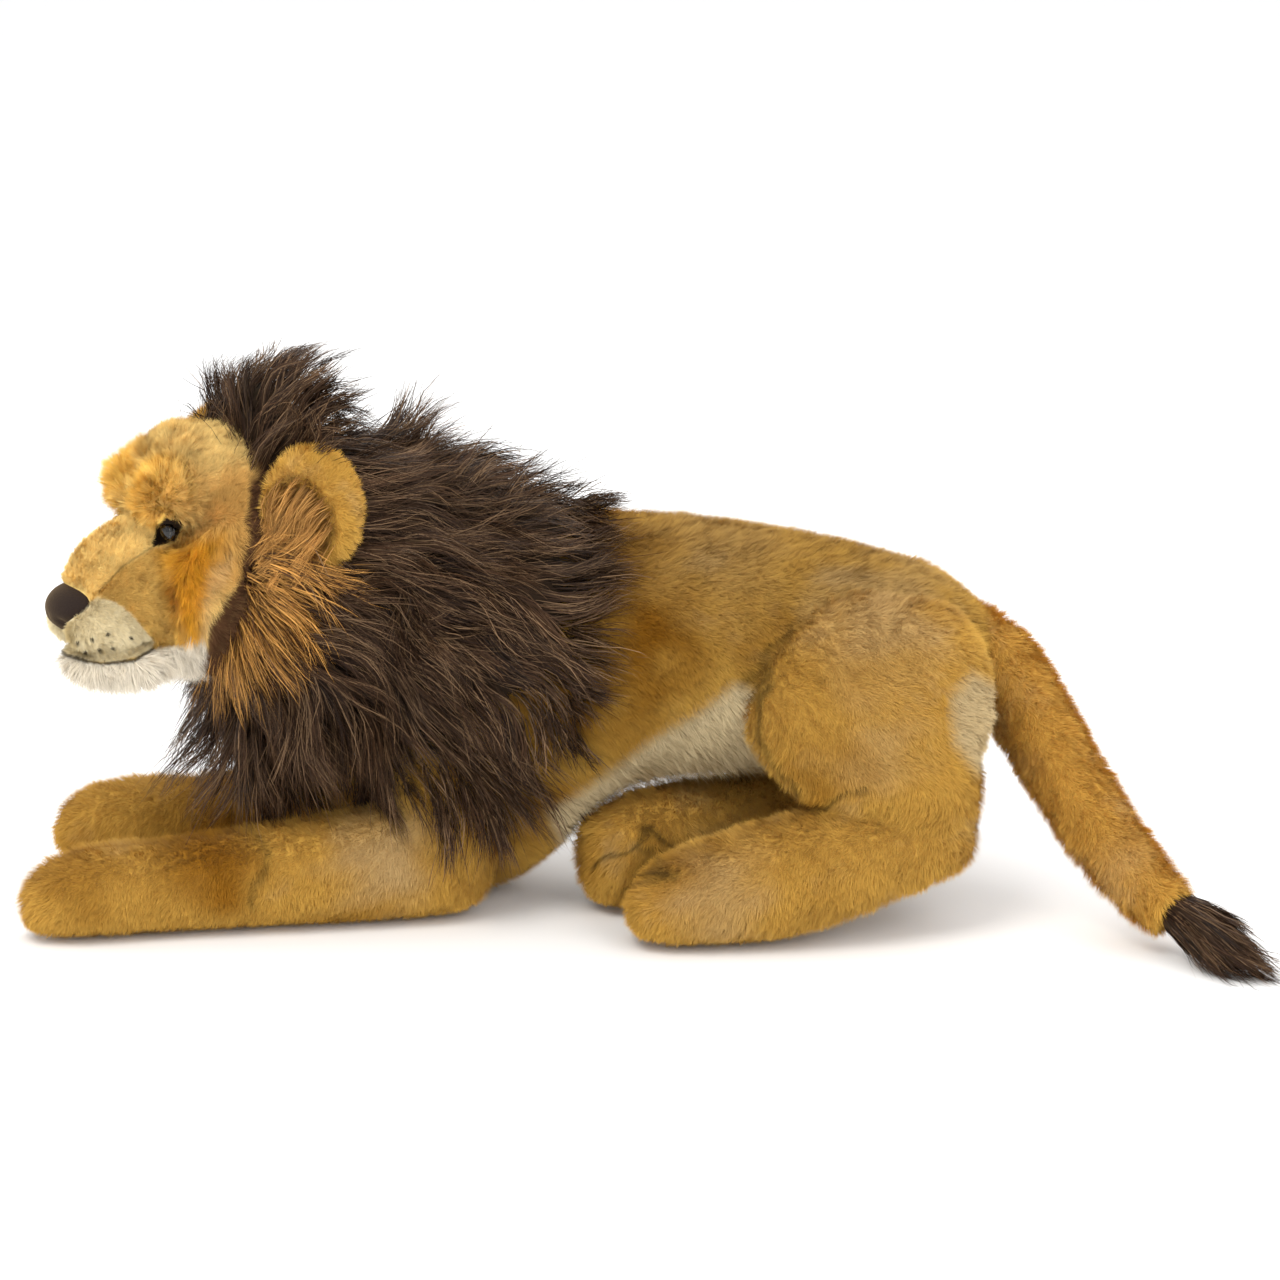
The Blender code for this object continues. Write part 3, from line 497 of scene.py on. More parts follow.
def inPieces(name, most, count):  # names and slices that keep each piece small enough
    pieces = math.ceil(count / most)
    edges = np.linspace(0, count, pieces + 1).astype(int)
    for index in range(pieces):
        yield (name if pieces == 1 else f"{name}{index + 1}"), slice(edges[index], edges[index + 1])


def growPile(name, skin, recipe, flow, shade, weigh=None, length=None, keep=None):
    # short plush: each fibre is one thin triangle that leans with the nap
    seed = recipe["seed"]
    roots, normals = scatter(skin, recipe["fibres"], seed, weigh)
    source = np.random.default_rng(seed + 1)
    count = len(roots)
    nap = flow(roots, normals)
    nap = unit(nap - dot(nap, normals) * normals)
    side = np.cross(normals, nap)
    swirl = math.radians(recipe["swirl"]) * (waves(roots, recipe["swirlMm"], seed + 2)
                                             + 0.6 * waves(roots, recipe["swirlMm"] / 3, seed + 3))
    swirl = swirl + source.normal(size=count) * math.radians(recipe["stray"])
    nap = nap * np.cos(swirl)[:, None] + side * np.sin(swirl)[:, None]
    lift = np.radians(recipe["lift"] + recipe["liftWave"] * waves(roots, recipe["swirlMm"] / 2, seed + 4)
                      + source.normal(size=count) * recipe["liftStray"])
    lift = np.clip(lift, 0.12, 1.45)[:, None]
    fibre = recipe["length"] * mm * source.uniform(recipe["shortest"], recipe["longest"], count)
    if length is not None:
        fibre = fibre * length(roots)
    fibre = fibre * (1 + recipe["lengthWave"] * waves(roots, 9, seed + 5))
    tips = roots + fibre[:, None] * (np.sin(lift) * normals + np.cos(lift) * nap)
    lock = np.stack([waves(roots, recipe["lockMm"], seed + 6 + axis, 6) for axis in range(3)], 1)
    tips = tips + lock * recipe["lock"] * mm
    starts = roots - normals * recipe["sink"] * mm
    if keep is not None:
        stays = keep(roots) & keep(tips) & keep((roots + tips) / 2)
        roots, normals, starts, tips = roots[stays], normals[stays], starts[stays], tips[stays]
        count = len(roots)
    tone = shade(roots * 0.45 + tips * 0.55, normals)
    tone = tone * (1 + recipe["grain"] * np.clip(source.normal(size=(count, 1)), -2, 2))
    # roots carry painted shade, the dark deep in the pile; tips are a little lighter
    tints = np.stack([tone * recipe["rootShade"], tone * recipe["tipShade"]], 1)
    paths = np.stack([starts, tips], 1)
    widths = np.full((count, 1), recipe["width"] / 2 * mm)
    made = []
    for pieceName, part in inPieces(name, pieceTriangles, count):
        made.append(strandMesh(pieceName, paths[part], widths[part], normals[part], tints[part],
                               plushFibre, soft=0))
    return made


def steadyOn(things, points, clearance):  # moves points out of skins, to at least a clearance
    for tree in things:
        for index in range(len(points)):
            place, normal, face, distance = tree.find_nearest(Vector(points[index]))
            above = (Vector(points[index]) - place).dot(normal)
            if above < clearance[index]:
                points[index] = np.array(place + normal * clearance[index])
    return points


def growStrands(name, skin, recipe, flow, shade, trees, weigh=None, length=None):
    # long fibres gather in locks: each follows a guide of its own lock and bends towards its tip
    seed = recipe["seed"]
    steps = recipe["steps"]
    locks, lockNormals = scatter(skin, recipe["locks"], seed, weigh)
    source = np.random.default_rng(seed + 1)
    reach = recipe["length"] * mm * source.uniform(0.75, 1.15, len(locks))
    if length is not None:
        reach = reach * length(locks)
    stepLength = (reach / steps)[:, None]
    guides = [locks - lockNormals * strandHabit["sink"] * mm]
    way = unit(lockNormals * recipe["rise"] + unit(flow(locks)))
    curl = source.normal(size=(len(locks), 3))
    for step in range(1, steps + 1):
        wander = np.stack([waves(guides[-1], recipe["waveMm"], seed + 5 + axis, 7)
                           for axis in range(3)], 1)
        pull = unit(flow(guides[-1]))
        way = unit(way * strandHabit["steady"] + pull * strandHabit["pull"] + wander * recipe["wander"]
                   + curl * recipe["curl"] - upright * recipe["droop"] * step / steps)
        point = guides[-1] + way * stepLength
        clearance = np.full(len(locks), recipe["clearance"] * mm) * min(1, step / 2) \
            * source.uniform(0.4, 1.6, len(locks))
        guides.append(steadyOn(trees, point, clearance))
    guides = np.stack(guides, 1)

    roots, normals = scatter(skin, recipe["fibres"], seed + 2, weigh)
    count = len(roots)
    finder = KDTree(len(locks))
    for index, place in enumerate(locks):
        finder.insert(place, index)
    finder.balance()
    nearest = np.array([finder.find(place)[1] for place in roots])
    source = np.random.default_rng(seed + 3)
    cut = source.uniform(0.72, 1.0, count)
    loose = source.random(count) < recipe["looseShare"]
    cut[loose] = source.uniform(0.9, 1.12, loose.sum())
    share = np.linspace(0, 1, steps + 1)
    at = np.clip(share[None] * cut[:, None] * steps, 0, steps)
    low = np.minimum(at.astype(int), steps - 1)
    rest = (at - low)[..., None]
    own = guides[nearest]
    rows = np.arange(count)[:, None]
    along = own[rows, low] * (1 - rest) + own[rows, low + 1] * rest
    gather = recipe["gather"] * share ** 0.8
    gather = np.where(loose[:, None], gather * strandHabit["looseGather"], gather)[..., None]
    offset = roots - locks[nearest]
    paths = along + offset[:, None] * (1 - gather)
    bend = source.normal(size=(count, 3))[:, None] * recipe["spread"] * mm
    bend = bend * (share[None, :, None] ** 1.3)
    paths = paths + np.where(loose[:, None, None], bend * strandHabit["looseBend"], bend)
    ripple = source.uniform(0, 2 * math.pi, (count, 1, 3))
    wavy = np.sin(ripple + share[None, :, None] * recipe["ripples"] * 2 * math.pi)
    paths = paths + wavy * recipe["ripple"] * mm * share[None, :, None]

    for axis, (start, room) in strandLimits.items():
        over = np.maximum(paths[..., axis] - start * mm, 0) / (room * mm)
        paths[..., axis] -= (over - 1 + np.exp(-over)) * room * mm

    lockTone = 1 + recipe["lockGrain"] * source.normal(size=len(locks))
    tone = shade(roots, nearest, source)
    tone = tone * (lockTone[nearest] * (1 + recipe["grain"] * source.normal(size=count)))[:, None]
    # each strand darkens to its root, painted shade deep in the mane, and lightens towards its tip
    fade = np.interp(share, [0, 0.35, 1], [recipe["rootShade"], 1.0, recipe["tipShade"]])
    tints = tone[:, None] * fade[None, :, None]
    taper = np.interp(share[:-1], [0, 0.5, 1], [1.0, 0.85, 0.25])
    widths = recipe["width"] / 2 * mm * taper[None] * source.uniform(0.7, 1.3, (count, 1))
    twist = source.uniform(-0.7, 0.7, count)
    made = []
    perStrand = 2 * steps - 1
    for pieceName, part in inPieces(name, pieceTriangles // perStrand, count):
        made.append(strandMesh(pieceName, paths[part], widths[part], normals[part], tints[part],
                               longFibre, twist[part]))
    return made


def treeOf(thing):
    return BVHTree.FromObject(thing, bpy.context.evaluated_depsgraph_get())


def tintSkin(skin, shade, backing):  # the knitted backing is dyed like the pile that grows from it, with painted shade on top
    tones = np.ones((len(skin.data.vertices), 4), np.float32)
    tones[:, :3] = np.clip(shade(readPlaces(skin), readNormals(skin)) * backingShade, 0, 1)
    tint = skin.data.color_attributes.new(name="pileTint", type="FLOAT_COLOR", domain="POINT")
    tint.data.foreach_set("color", tones.ravel())
    skin.data.materials.clear()
    skin.data.materials.append(backing)


def dress(pieces, body, slot, nodes=()):
    for piece in pieces:
        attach(piece, body)
    if nodes:
        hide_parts(*nodes)


def dressSkin(skin, body, slot, nodes=()):
    dress([skin], body, slot, nodes)
    print(skin.name, len(skin.data.vertices), "points")


# body
torsoForm = {
    "stations": [  # x, low, high, half width of the sewn body, before its pile
        (-58, 40, 150, 14), (-50, 14, 200, 40), (-36, 6, 250, 58), (-19, 4, 262, 70), (10, 4, 268, 79),
        (35, 6, 270, 83), (62, 26, 271, 85), (78, 44, 271, 85), (98, 66, 271, 85), (122, 82, 270, 85),
        (160, 88, 268, 84), (194, 90, 264, 83), (260, 97, 253, 80), (315, 110, 238, 73),
        (345, 121, 224, 60), (365, 132, 208, 44), (376, 150, 190, 20)],
    "voxel": 4, "smoothing": 6, "sides": 36, "swell": 4, "shade": 0.88,
}
bodyPile = dict(plushPlain, fibres=315000, seed=11, length=7.8, width=0.56, lift=44, swirl=8,
                swirlMm=40, lock=0.55)
bodyTones = {"gold": "#cb9f48", "ochre": "#966005", "pale": "#c9ab78", "cream": "#cdbb94"}
toneLightAndShadeZones = [  # broad blushes on the near side, partly the pile's own tone and partly painted light and shade: pale on tops where light falls, ochre on the flank and underneath where shade falls; picture place, reach, tone, strength
    (650, 645, 90, "ochre", 0.95), (620, 560, 75, "ochre", 0.6), (560, 700, 90, "ochre", 0.75),
    (770, 640, 60, "ochre", 0.5), (720, 535, 110, "pale", 0.3), (880, 620, 100, "pale", 0.65),
    (880, 750, 70, "pale", 0.45), (715, 890, 75, "pale", 0.6), (930, 820, 50, "gold", 0.7),
    (225, 875, 70, "ochre", 0.8), (70, 885, 60, "ochre", 0.45), (380, 860, 75, "pale", 0.85),
    (470, 890, 50, "gold", 0.6), (540, 800, 60, "ochre", 0.6), (1050, 760, 70, "gold", 0.7),
    (1120, 870, 50, "pale", 0.4), (800, 790, 40, "ochre", 0.55), (200, 850, 90, "ochre", 0.6),
    (650, 880, 80, "ochre", 0.35), (840, 780, 60, "ochre", 0.35), (460, 780, 60, "ochre", 0.5)]
bellyEdge = [(560, 850), (548, 812), (592, 784), (655, 738), (700, 712), (735, 684), (752, 690),
             (790, 790), (700, 900)]
rumpPatch = {"centre": (0.372, 0, 0.139), "halves": (0.045, 0.040, 0.034),
             "outline": [(950, 700), (972, 672), (1005, 690), (1010, 765), (978, 775), (955, 745)]}
bellyPile = dict(bodyPile, fibres=24000, seed=21, length=11, lock=1.2, lift=36)
rumpPile = dict(bodyPile, fibres=7000, seed=26, length=10, lock=1.2)


def nearFloor(points):  # the pile is crushed short where a limb lies on the floor
    return 1 - 0.55 * smoothStep(0.028 - points[:, 2], 0, 0.026)


def mirroredNear(points):  # the far side of the body takes the near side's pattern
    near = points.copy()
    near[:, 1] = -np.abs(near[:, 1])
    return near


creaseShadeLines = [  # painted shade along folds and creases, in the picture, with their reach and depth of tone
    ([(598, 874), (610, 852), (638, 840), (668, 846)], 5, 0.6),
    ([(612, 890), (630, 874), (662, 868)], 4.5, 0.5),
    ([(640, 845), (650, 862), (648, 888)], 4, 0.4), ([(262, 812), (272, 850), (268, 905)], 8, 0.35),
    ([(790, 797), (830, 799), (862, 785)], 7, 0.6), ([(742, 688), (758, 660), (790, 640)], 8, 0.4),
    ([(752, 690), (768, 735), (776, 795)], 7, 0.5), ([(640, 905), (636, 880), (650, 855)], 5, 0.3)]


def goldShade(points, seed=40, lean=0.0):
    gold, ochre, pale = (linear(bodyTones[key]) for key in ("gold", "ochre", "pale"))
    dark = waves(points, 80, seed) * 0.5 + waves(points, 24, seed + 1) * 0.12 + lean
    light = waves(points, 50, seed + 2) * 0.5 + waves(points, 14, seed + 3) * 0.2 - lean
    dark, light = smoothStep(dark, 0.1, 2.0), smoothStep(light, 0.2, 2.0)
    tone = mixed(np.broadcast_to(gold, points.shape), ochre, dark * 0.45)
    tone = mixed(tone, pale, light * 0.45)
    sway = np.stack([waves(points, 45, seed + 4), waves(points, 45, seed + 5)], 1)
    view = photoPlace(mirroredNear(points)) + 9 * sway
    # the zones lay painted light and shade over the pile's own tone
    for across, down, reach, key, strength in toneLightAndShadeZones:
        away = np.hypot(view[:, 0] - across, view[:, 1] - down)
        tone = mixed(tone, linear(bodyTones[key]), smoothStep(reach - away, 0, reach * 0.9) * strength)
    # painted shade darkens the pile along each fold and crease
    for line, reach, strength in creaseShadeLines:
        creaseShade = smoothStep(reach - edgeDistance(view, line), 0, reach) * (points[:, 1] < 0)
        tone = tone * (1 - strength * creaseShade)[:, None]
    return tone


def bellyShare(points, normals=None):  # the cream under the belly
    soft = insideShare(photoPlace(mirroredNear(points)), bellyEdge, 9)
    under = smoothStep(0.135 - points[:, 2], 0, 0.02) * (points[:, 0] > 0.075)
    under = under * (np.abs(points[:, 1]) < 0.06)
    return np.maximum(soft * (points[:, 2] < 0.19), under)


def rumpShare(points, normals=None):  # the cream under the tail
    away = (points - rumpPatch["centre"]) / rumpPatch["halves"]
    patch = insideShare(photoPlace(mirroredNear(points)), rumpPatch["outline"], 10)
    patch = patch * (points[:, 0] > 0.335)
    return np.maximum(smoothStep(1.15 - np.linalg.norm(away, axis=1), 0, 0.25), patch)


def makeTorso():
    form = addLoft(torsoForm["stations"], sides=torsoForm["sides"])
    skin = makeSkin("torsoSkin", [form], torsoForm["voxel"], torsoForm["smoothing"], goldBacking,
                    floor=1)
    stuff(skin, torsoForm["swell"])
    dressSkin(skin, "torso", "torso", ["torso"])

    def flow(points, normals):
        sweep = np.broadcast_to(np.array((1.0, 0, -0.30)), points.shape).copy()
        sweep[:, 2] -= 0.5 * np.abs(points[:, 1]) / 0.09
        return sweep

    def shade(points, normals):
        # the lower body takes more ochre: painted shade underneath
        low = smoothStep(0.235 - points[:, 2], 0, 0.09)
        tone = goldShade(points, lean=0.35 * low - 0.1) * torsoForm["shade"]
        cream = np.maximum(bellyShare(points), rumpShare(points))
        return mixed(tone, linear(bodyTones["cream"]), cream)

    def weigh(points, normals):  # none where the mane and the haunches cover it
        mane = smoothStep(points[:, 0] - 0.045, 0, 0.03) * 0.97 + 0.03
        mane = np.maximum(mane, smoothStep(0.19 - points[:, 2], 0, 0.03) * (points[:, 0] > -0.04))
        haunch = np.linalg.norm((points - (0.29, 0, 0.150)) / (0.062, 1, 0.045), axis=1)
        under = (points[:, 2] < 0.09) & (points[:, 0] < 0.09)
        return np.where(under, 0.5, mane) * np.where(haunch < 1, 0.25, 1)

    tintSkin(skin, shade, goldBacking)

    def golden(points, normals):
        return weigh(points, normals) * (1 - np.maximum(bellyShare(points), rumpShare(points)))

    dress(growPile("torsoPile", skin, bodyPile, flow, shade, golden), "torso", "torso")
    belly = growPile("bellyPile", skin, bellyPile, flow, shade, bellyShare)
    dress(belly, "torso", "belly_panel", ["belly_panel"])
    patch = growPile("rumpPile", skin, rumpPile, flow, shade, rumpShare)
    dress(patch, "torso", "rump_patch", ["rump_patch"])
    print("torso done")
    return skin


# legs
shoulderX, shoulderSide = -11, 62
frontLeg = {"stations": [  # from the elbow forward, x, low, high, half width
    (36, 18, 50, 12), (27, 8, 70, 24), (8, 3, 84, 34), (-30, 2, 80, 34), (-70, 2, 75, 33),
    (-110, 2, 70, 31.5), (-150, 2, 66, 30), (-190, 2, 62, 29), (-225, 2, 62, 31), (-252, 2, 58, 31),
    (-272, 4, 48, 26), (-283, 10, 36, 14)],
    "yaw": {1: 10, -1: 0}, "voxel": 3.5, "smoothing": 4, "swell": 3}
frontPile = dict(plushPlain, fibres=88000, seed=60, length=7.8, width=0.56, lift=44, swirl=13,
                 swirlMm=30, lock=0.6)
hindPile = dict(frontPile, fibres=130000, seed=80, length=8.0, width=0.57, swirl=14, swirlMm=34)
hindLeg = {"voxel": 3.8, "smoothing": 4, "swell": 3,
           # haunch, rear and shank balls by place, halves and turn, then the foot's loft
           1: {"balls": [((284, -80, 157), (84, 36, 76), (-25, 14, -12)),
                         ((320, -72, 160), (48, 42, 66), (-12, 0, 0)),
                         ((320, -94, 102), (42, 33, 54), (0, 0, 0))],
               "foot": [(32, 56, 76, 12), (22, 48, 87, 24), (0, 38, 93, 31), (-40, 24, 93, 36),
                        (-68, 12, 90, 38), (-98, 3, 85, 39), (-142, 2, 73, 36), (-182, 2, 60, 31),
                        (-198, 6, 46, 22), (-205, 14, 34, 10)],
               "place": (326, -99), "yaw": 8.5},
           -1: {"balls": [((284, 76, 157), (84, 36, 76), (25, 14, 12)),
                          ((320, 69, 160), (48, 42, 66), (12, 0, 0)),
                          ((286, 66, 92), (42, 32, 50), (0, 0, 0))],
                "foot": [(30, 40, 66, 14), (22, 28, 78, 26), (0, 22, 84, 32), (-45, 6, 82, 34),
                         (-91, 2, 82, 35), (-131, 2, 83, 38), (-170, 2, 80, 37), (-192, 5, 72, 30),
                         (-203, 14, 58, 16)],
                "place": (265, 50), "yaw": 32.8}}


def sideName(side):
    return "Left" if side > 0 else "Right"


def sideWord(side):
    return sideName(side).lower()


def makeFrontLeg(side):
    yaw = frontLeg["yaw"][side] * side
    forearm = addLoft(frontLeg["stations"], (shoulderX, -side * shoulderSide), yaw)
    elbow = addBall((shoulderX + 6, -side * (shoulderSide - 1), 64), (36, 34, 54))
    upperArm = addBall((shoulderX, -side * (shoulderSide - 4), 100), (34, 33, 44))
    skin = makeSkin(f"frontLeg{sideName(side)}Skin", [forearm, elbow, upperArm], frontLeg["voxel"],
                    frontLeg["smoothing"], goldBacking, floor=1)
    body = f"front_leg_{sideWord(side)}"
    stuff(skin, frontLeg["swell"])
    dressSkin(skin, body, body, [body])
    heading = np.array((-math.cos(math.radians(yaw)), -math.sin(math.radians(yaw)), 0))

    def flow(points, normals):
        return heading * 0.5 + np.array((0, 0, -0.9)) + np.zeros_like(points)

    def shade(points, normals):
        # more ochre near the floor: painted shade where the leg meets it
        return goldShade(points, 50 + side, lean=0.4 * smoothStep(0.04 - points[:, 2], 0, 0.04))

    recipe = dict(frontPile, seed=frontPile["seed"] + side)
    tintSkin(skin, shade, goldBacking)
    pile = growPile(f"frontLeg{sideName(side)}Pile", skin, recipe, flow, shade, length=nearFloor)
    dress(pile, body, body)
    print(body, "done")
    return skin


def makeHindLeg(side):
    leg = hindLeg[side]
    forms = [addBall(*ball) for ball in leg["balls"]]
    forms.append(addLoft(leg["foot"], leg["place"], leg["yaw"]))
    name = f"hindLeg{sideName(side)}"
    skin = makeSkin(f"{name}Skin", forms, hindLeg["voxel"], hindLeg["smoothing"], goldBacking, floor=1)
    stuff(skin, hindLeg["swell"])
    body = f"hind_leg_{sideWord(side)}"
    thigh = f"thigh_{sideWord(side)}"
    foot = f"hind_foot_{sideWord(side)}"
    dressSkin(skin, body, thigh, [thigh, foot])

    def flow(points, normals):
        above = smoothStep(points[:, 2], 0.09, 0.13)[:, None]
        haunch, shank = np.array((0.7, 0, -0.75)), np.array((-0.55, 0, -0.85))
        return above * haunch + (1 - above) * shank + np.zeros_like(points)

    def shade(points, normals):
        return mixed(goldShade(points, 70 + side), linear(bodyTones["cream"]), rumpShare(points) * 0.8)

    recipe = dict(hindPile, seed=hindPile["seed"] + side)
    tintSkin(skin, shade, goldBacking)
    pile = growPile(f"{name}Pile", skin, recipe, flow, shade, length=nearFloor)
    dress(pile, body, thigh)
    print(name, "done")


# tail
tailPath = {"radius": 24, "places": [  # x, y, z and the share of the radius, from rump to tuft
    (350, 0, 186, 1.05), (366, -2, 180, 1.12), (387, -15, 158, 1.16), (405, -38, 131, 1.12),
    (422, -64, 103, 1.05), (446, -96, 67, 1.0), (470, -124, 42, 0.9), (486, -139, 29, 0.78)],
    "voxel": 3.2, "smoothing": 6, "shade": 1.2, "napFrom": (380, 0, 190), "napTo": (488, -140, 28),
    "bend": (429.7, -70, 107.4), "bendReach": 0.022}
tailPile = dict(plushPlain, fibres=66000, seed=95, length=8.4, width=0.6, lift=48, swirl=14,
                swirlMm=24, lock=0.7)


def makeTail():
    curve = bpy.data.curves.new("tailLine", "CURVE")
    curve.dimensions = "3D"
    line = curve.splines.new("NURBS")
    line.points.add(len(tailPath["places"]) - 1)
    for point, (x, y, z, width) in zip(line.points, tailPath["places"]):
        point.co = (x * mm, y * mm, z * mm, 1)
        point.radius = width
    line.order_u = 3
    line.use_endpoint_u = True
    curve.bevel_depth = tailPath["radius"] * mm
    curve.bevel_resolution = 6
    curve.use_fill_caps = True
    holder = bpy.data.objects.new("tailLine", curve)
    bpy.context.scene.collection.objects.link(holder)
    pick(holder)
    bpy.ops.object.convert(target="MESH")
    tube = bpy.context.object
    root = addBall((364, 0, 180), (20, 24, 25))
    skin = makeSkin("tailSkin", [tube, root], tailPath["voxel"], tailPath["smoothing"], goldBacking,
                    floor=1)
    middle = Vector(tailPath["bend"]) * mm
    heading = (Vector(tailPath["napTo"]) - Vector(tailPath["napFrom"])).normalized()

    def flow(points, normals):
        return np.array(heading) + np.zeros_like(points)

    def shade(points, normals):
        return goldShade(points, 90, lean=-0.25) * tailPath["shade"]

    tintSkin(skin, shade, goldBacking)
    pile = growPile("tailPile", skin, tailPile, flow, shade)
    for piece in [skin, *pile]:
        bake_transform(piece)
    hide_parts("tail_base", "tail_end")
    print("tail done")


# head
headForms = [  # ahead, left, up, halves, pitch; the ones off the middle line are made on both sides
    (92, 0, 44, (45, 67, 59), 0), (112, 0, 63, (31, 51, 44), 0), (132, 28, 65, (21, 20, 20), 0),
    (146, 15, 56, (9, 8, 15), 0), (152, 0, 15, (50, 29, 33), 24), (178, 0, -5, (25, 24, 21), 0),
    (156, 20, -5, (34, 19, 25), 0), (178, 17, -19, (27, 18, 18), 0), (112, 42, 2, (28, 19, 40), 0),
    (162, 0, -45, (39, 36, 17), 0), (118, 0, -20, (44, 48, 39), 0)]
headSkin = {"voxel": 2.2, "smoothing": 4, "groove": 5}
browLump = {"place": (134, 25, 68), "halves": (26, 25, 24)}
faceLines = {  # outlines of the near side, in the picture
    "lipPad": [(97, 597), (62, 622), (42, 632), (50, 650), (66, 656), (85, 660), (112, 663),
               (150, 653), (154, 642), (132, 615), (115, 602)],
    "cheek": [(162, 550), (170, 585), (180, 635), (190, 650), (195, 652), (212, 635), (215, 595),
              (240, 555), (255, 515), (215, 522), (190, 535)],
    "blush": [(158, 550), (167, 585), (176, 625), (190, 650), (203, 640), (203, 600), (214, 562),
              (224, 536), (195, 537)],
    "chin": [(40, 640), (66, 655), (85, 661), (103, 664), (135, 660), (153, 649), (180, 645), (205, 640),
             (215, 690), (150, 712), (50, 705)],
    "muzzleSide": [(155, 548), (122, 567), (97, 592), (132, 615), (154, 642), (150, 655), (190, 652),
                   (180, 630), (170, 585), (162, 550)],
    "eyePatch": [(152, 547), (156, 530), (165, 517), (184, 523), (175, 542)],
    "band": [(170, 409), (215, 420), (244, 442), (256, 480), (256, 540), (242, 588), (218, 628),
             (211, 668)],
    "behind": [(190, 395), (222, 410), (250, 436), (262, 480), (262, 543), (247, 592), (223, 632),
               (216, 672), (215, 760), (500, 760), (500, 300), (190, 300)],
    "fringe": [(206, 575), (218, 562), (232, 556), (226, 578), (210, 602), (212, 640), (198, 646),
               (204, 612)],
    "mouth": [(66, 655), (85, 661), (103, 664), (135, 660), (153, 649)],
    "seam": [(155, 545), (140, 555), (122, 567), (99, 591)],
}
whiskerDots = [(77.5, 643), (92, 640), (107.5, 634.5), (130.5, 638), (100, 651), (113, 649),
               (85, 652.5)]
faceTones = {"forehead": "#e3c37a", "bridge": "#f0cf80", "muzzleSide": "#d3ab5b", "cheek": "#da9b21",
             "brow": "#f5c656", "lipPad": "#ebddb7", "chin": "#e7decc", "band": "#5e4029",
             "dark": "#1c120c", "fringe": "#dcc090", "temple": "#d2a052"}
facePiles = {  # fibres on each piece, length, width and so on
    "forehead": {"fibres": 48000, "length": 8.5, "lift": 42, "lock": 0.7},
    "brow": {"fibres": 13000, "length": 11, "lift": 58, "lock": 1.8, "swirl": 40, "swirlMm": 13},
    "muzzle": {"fibres": 46000, "length": 4.2, "lift": 46, "lock": 0.5},
    "lipPad": {"fibres": 14000, "length": 4.5, "lift": 44, "lock": 0.4},
    "cheek": {"fibres": 11000, "length": 12, "lift": 40, "lock": 1.8},
    "chin": {"fibres": 15000, "length": 13, "lift": 30, "lock": 2.2},
    "band": {"fibres": 12000, "length": 9, "lift": 48, "lock": 1.2},
    "eyePatch": {"fibres": 1400, "length": 1.4, "lift": 60, "lock": 0.1},
}
facePlain = dict(plushPlain, width=0.5, swirl=18, swirlMm=22, stray=13, lockMm=5)
regionNames = ["none", "forehead", "brow", "muzzle", "lipPad", "cheek", "chin", "band", "eyePatch"]


def faceView(points):  # each side of the face takes the near side's pattern
    shares = headShares(points)
    near = neckPlace + (shares[:, :1] * headAhead + np.abs(shares[:, 1:2]) * headLeft
                        + shares[:, 2:] * upright) * mm
    return photoPlace(near)


def browReach(ahead, left, up):  # below 1 inside the lump over each eye
    away = np.stack([ahead, left, up], 1) - browLump["place"]
    return np.linalg.norm(away / browLump["halves"], axis=1)


def faceRegion(points):  # which piece of pile each place on the face belongs to
    view, shares = faceView(points), headShares(points)
    ahead, left, up = shares[:, 0], np.abs(shares[:, 1]), shares[:, 2]

    def inside(name):
        return insideShare(view, faceLines[name], 0.01) > 0.5

    region = np.where((ahead > 130) & (up < 56), 3, 1)
    region = np.where(inside("cheek") & (left > 22), 5, region)
    region = np.where((browReach(ahead, left, up) < 1) & (up > 47), 2, region)
    region = np.where(inside("eyePatch") & (left > 15), 8, region)
    region = np.where(inside("lipPad") & (ahead > 120), 4, region)
    region = np.where((inside("chin") & (ahead > 105)) | ((up < -45) & (ahead > 105)), 6, region)
    region = np.where((edgeDistance(view, faceLines["band"]) < 9) & (ahead < 122), 7, region)
    crown = (up > 80) & (ahead > 84)
    hidden = (insideShare(view, faceLines["behind"], 0.01) > 0.5) & ~crown
    hidden = hidden | (ahead < 70) | ((up < -30) & (ahead < 100))
    return np.where(hidden & (region != 7), 0, region)


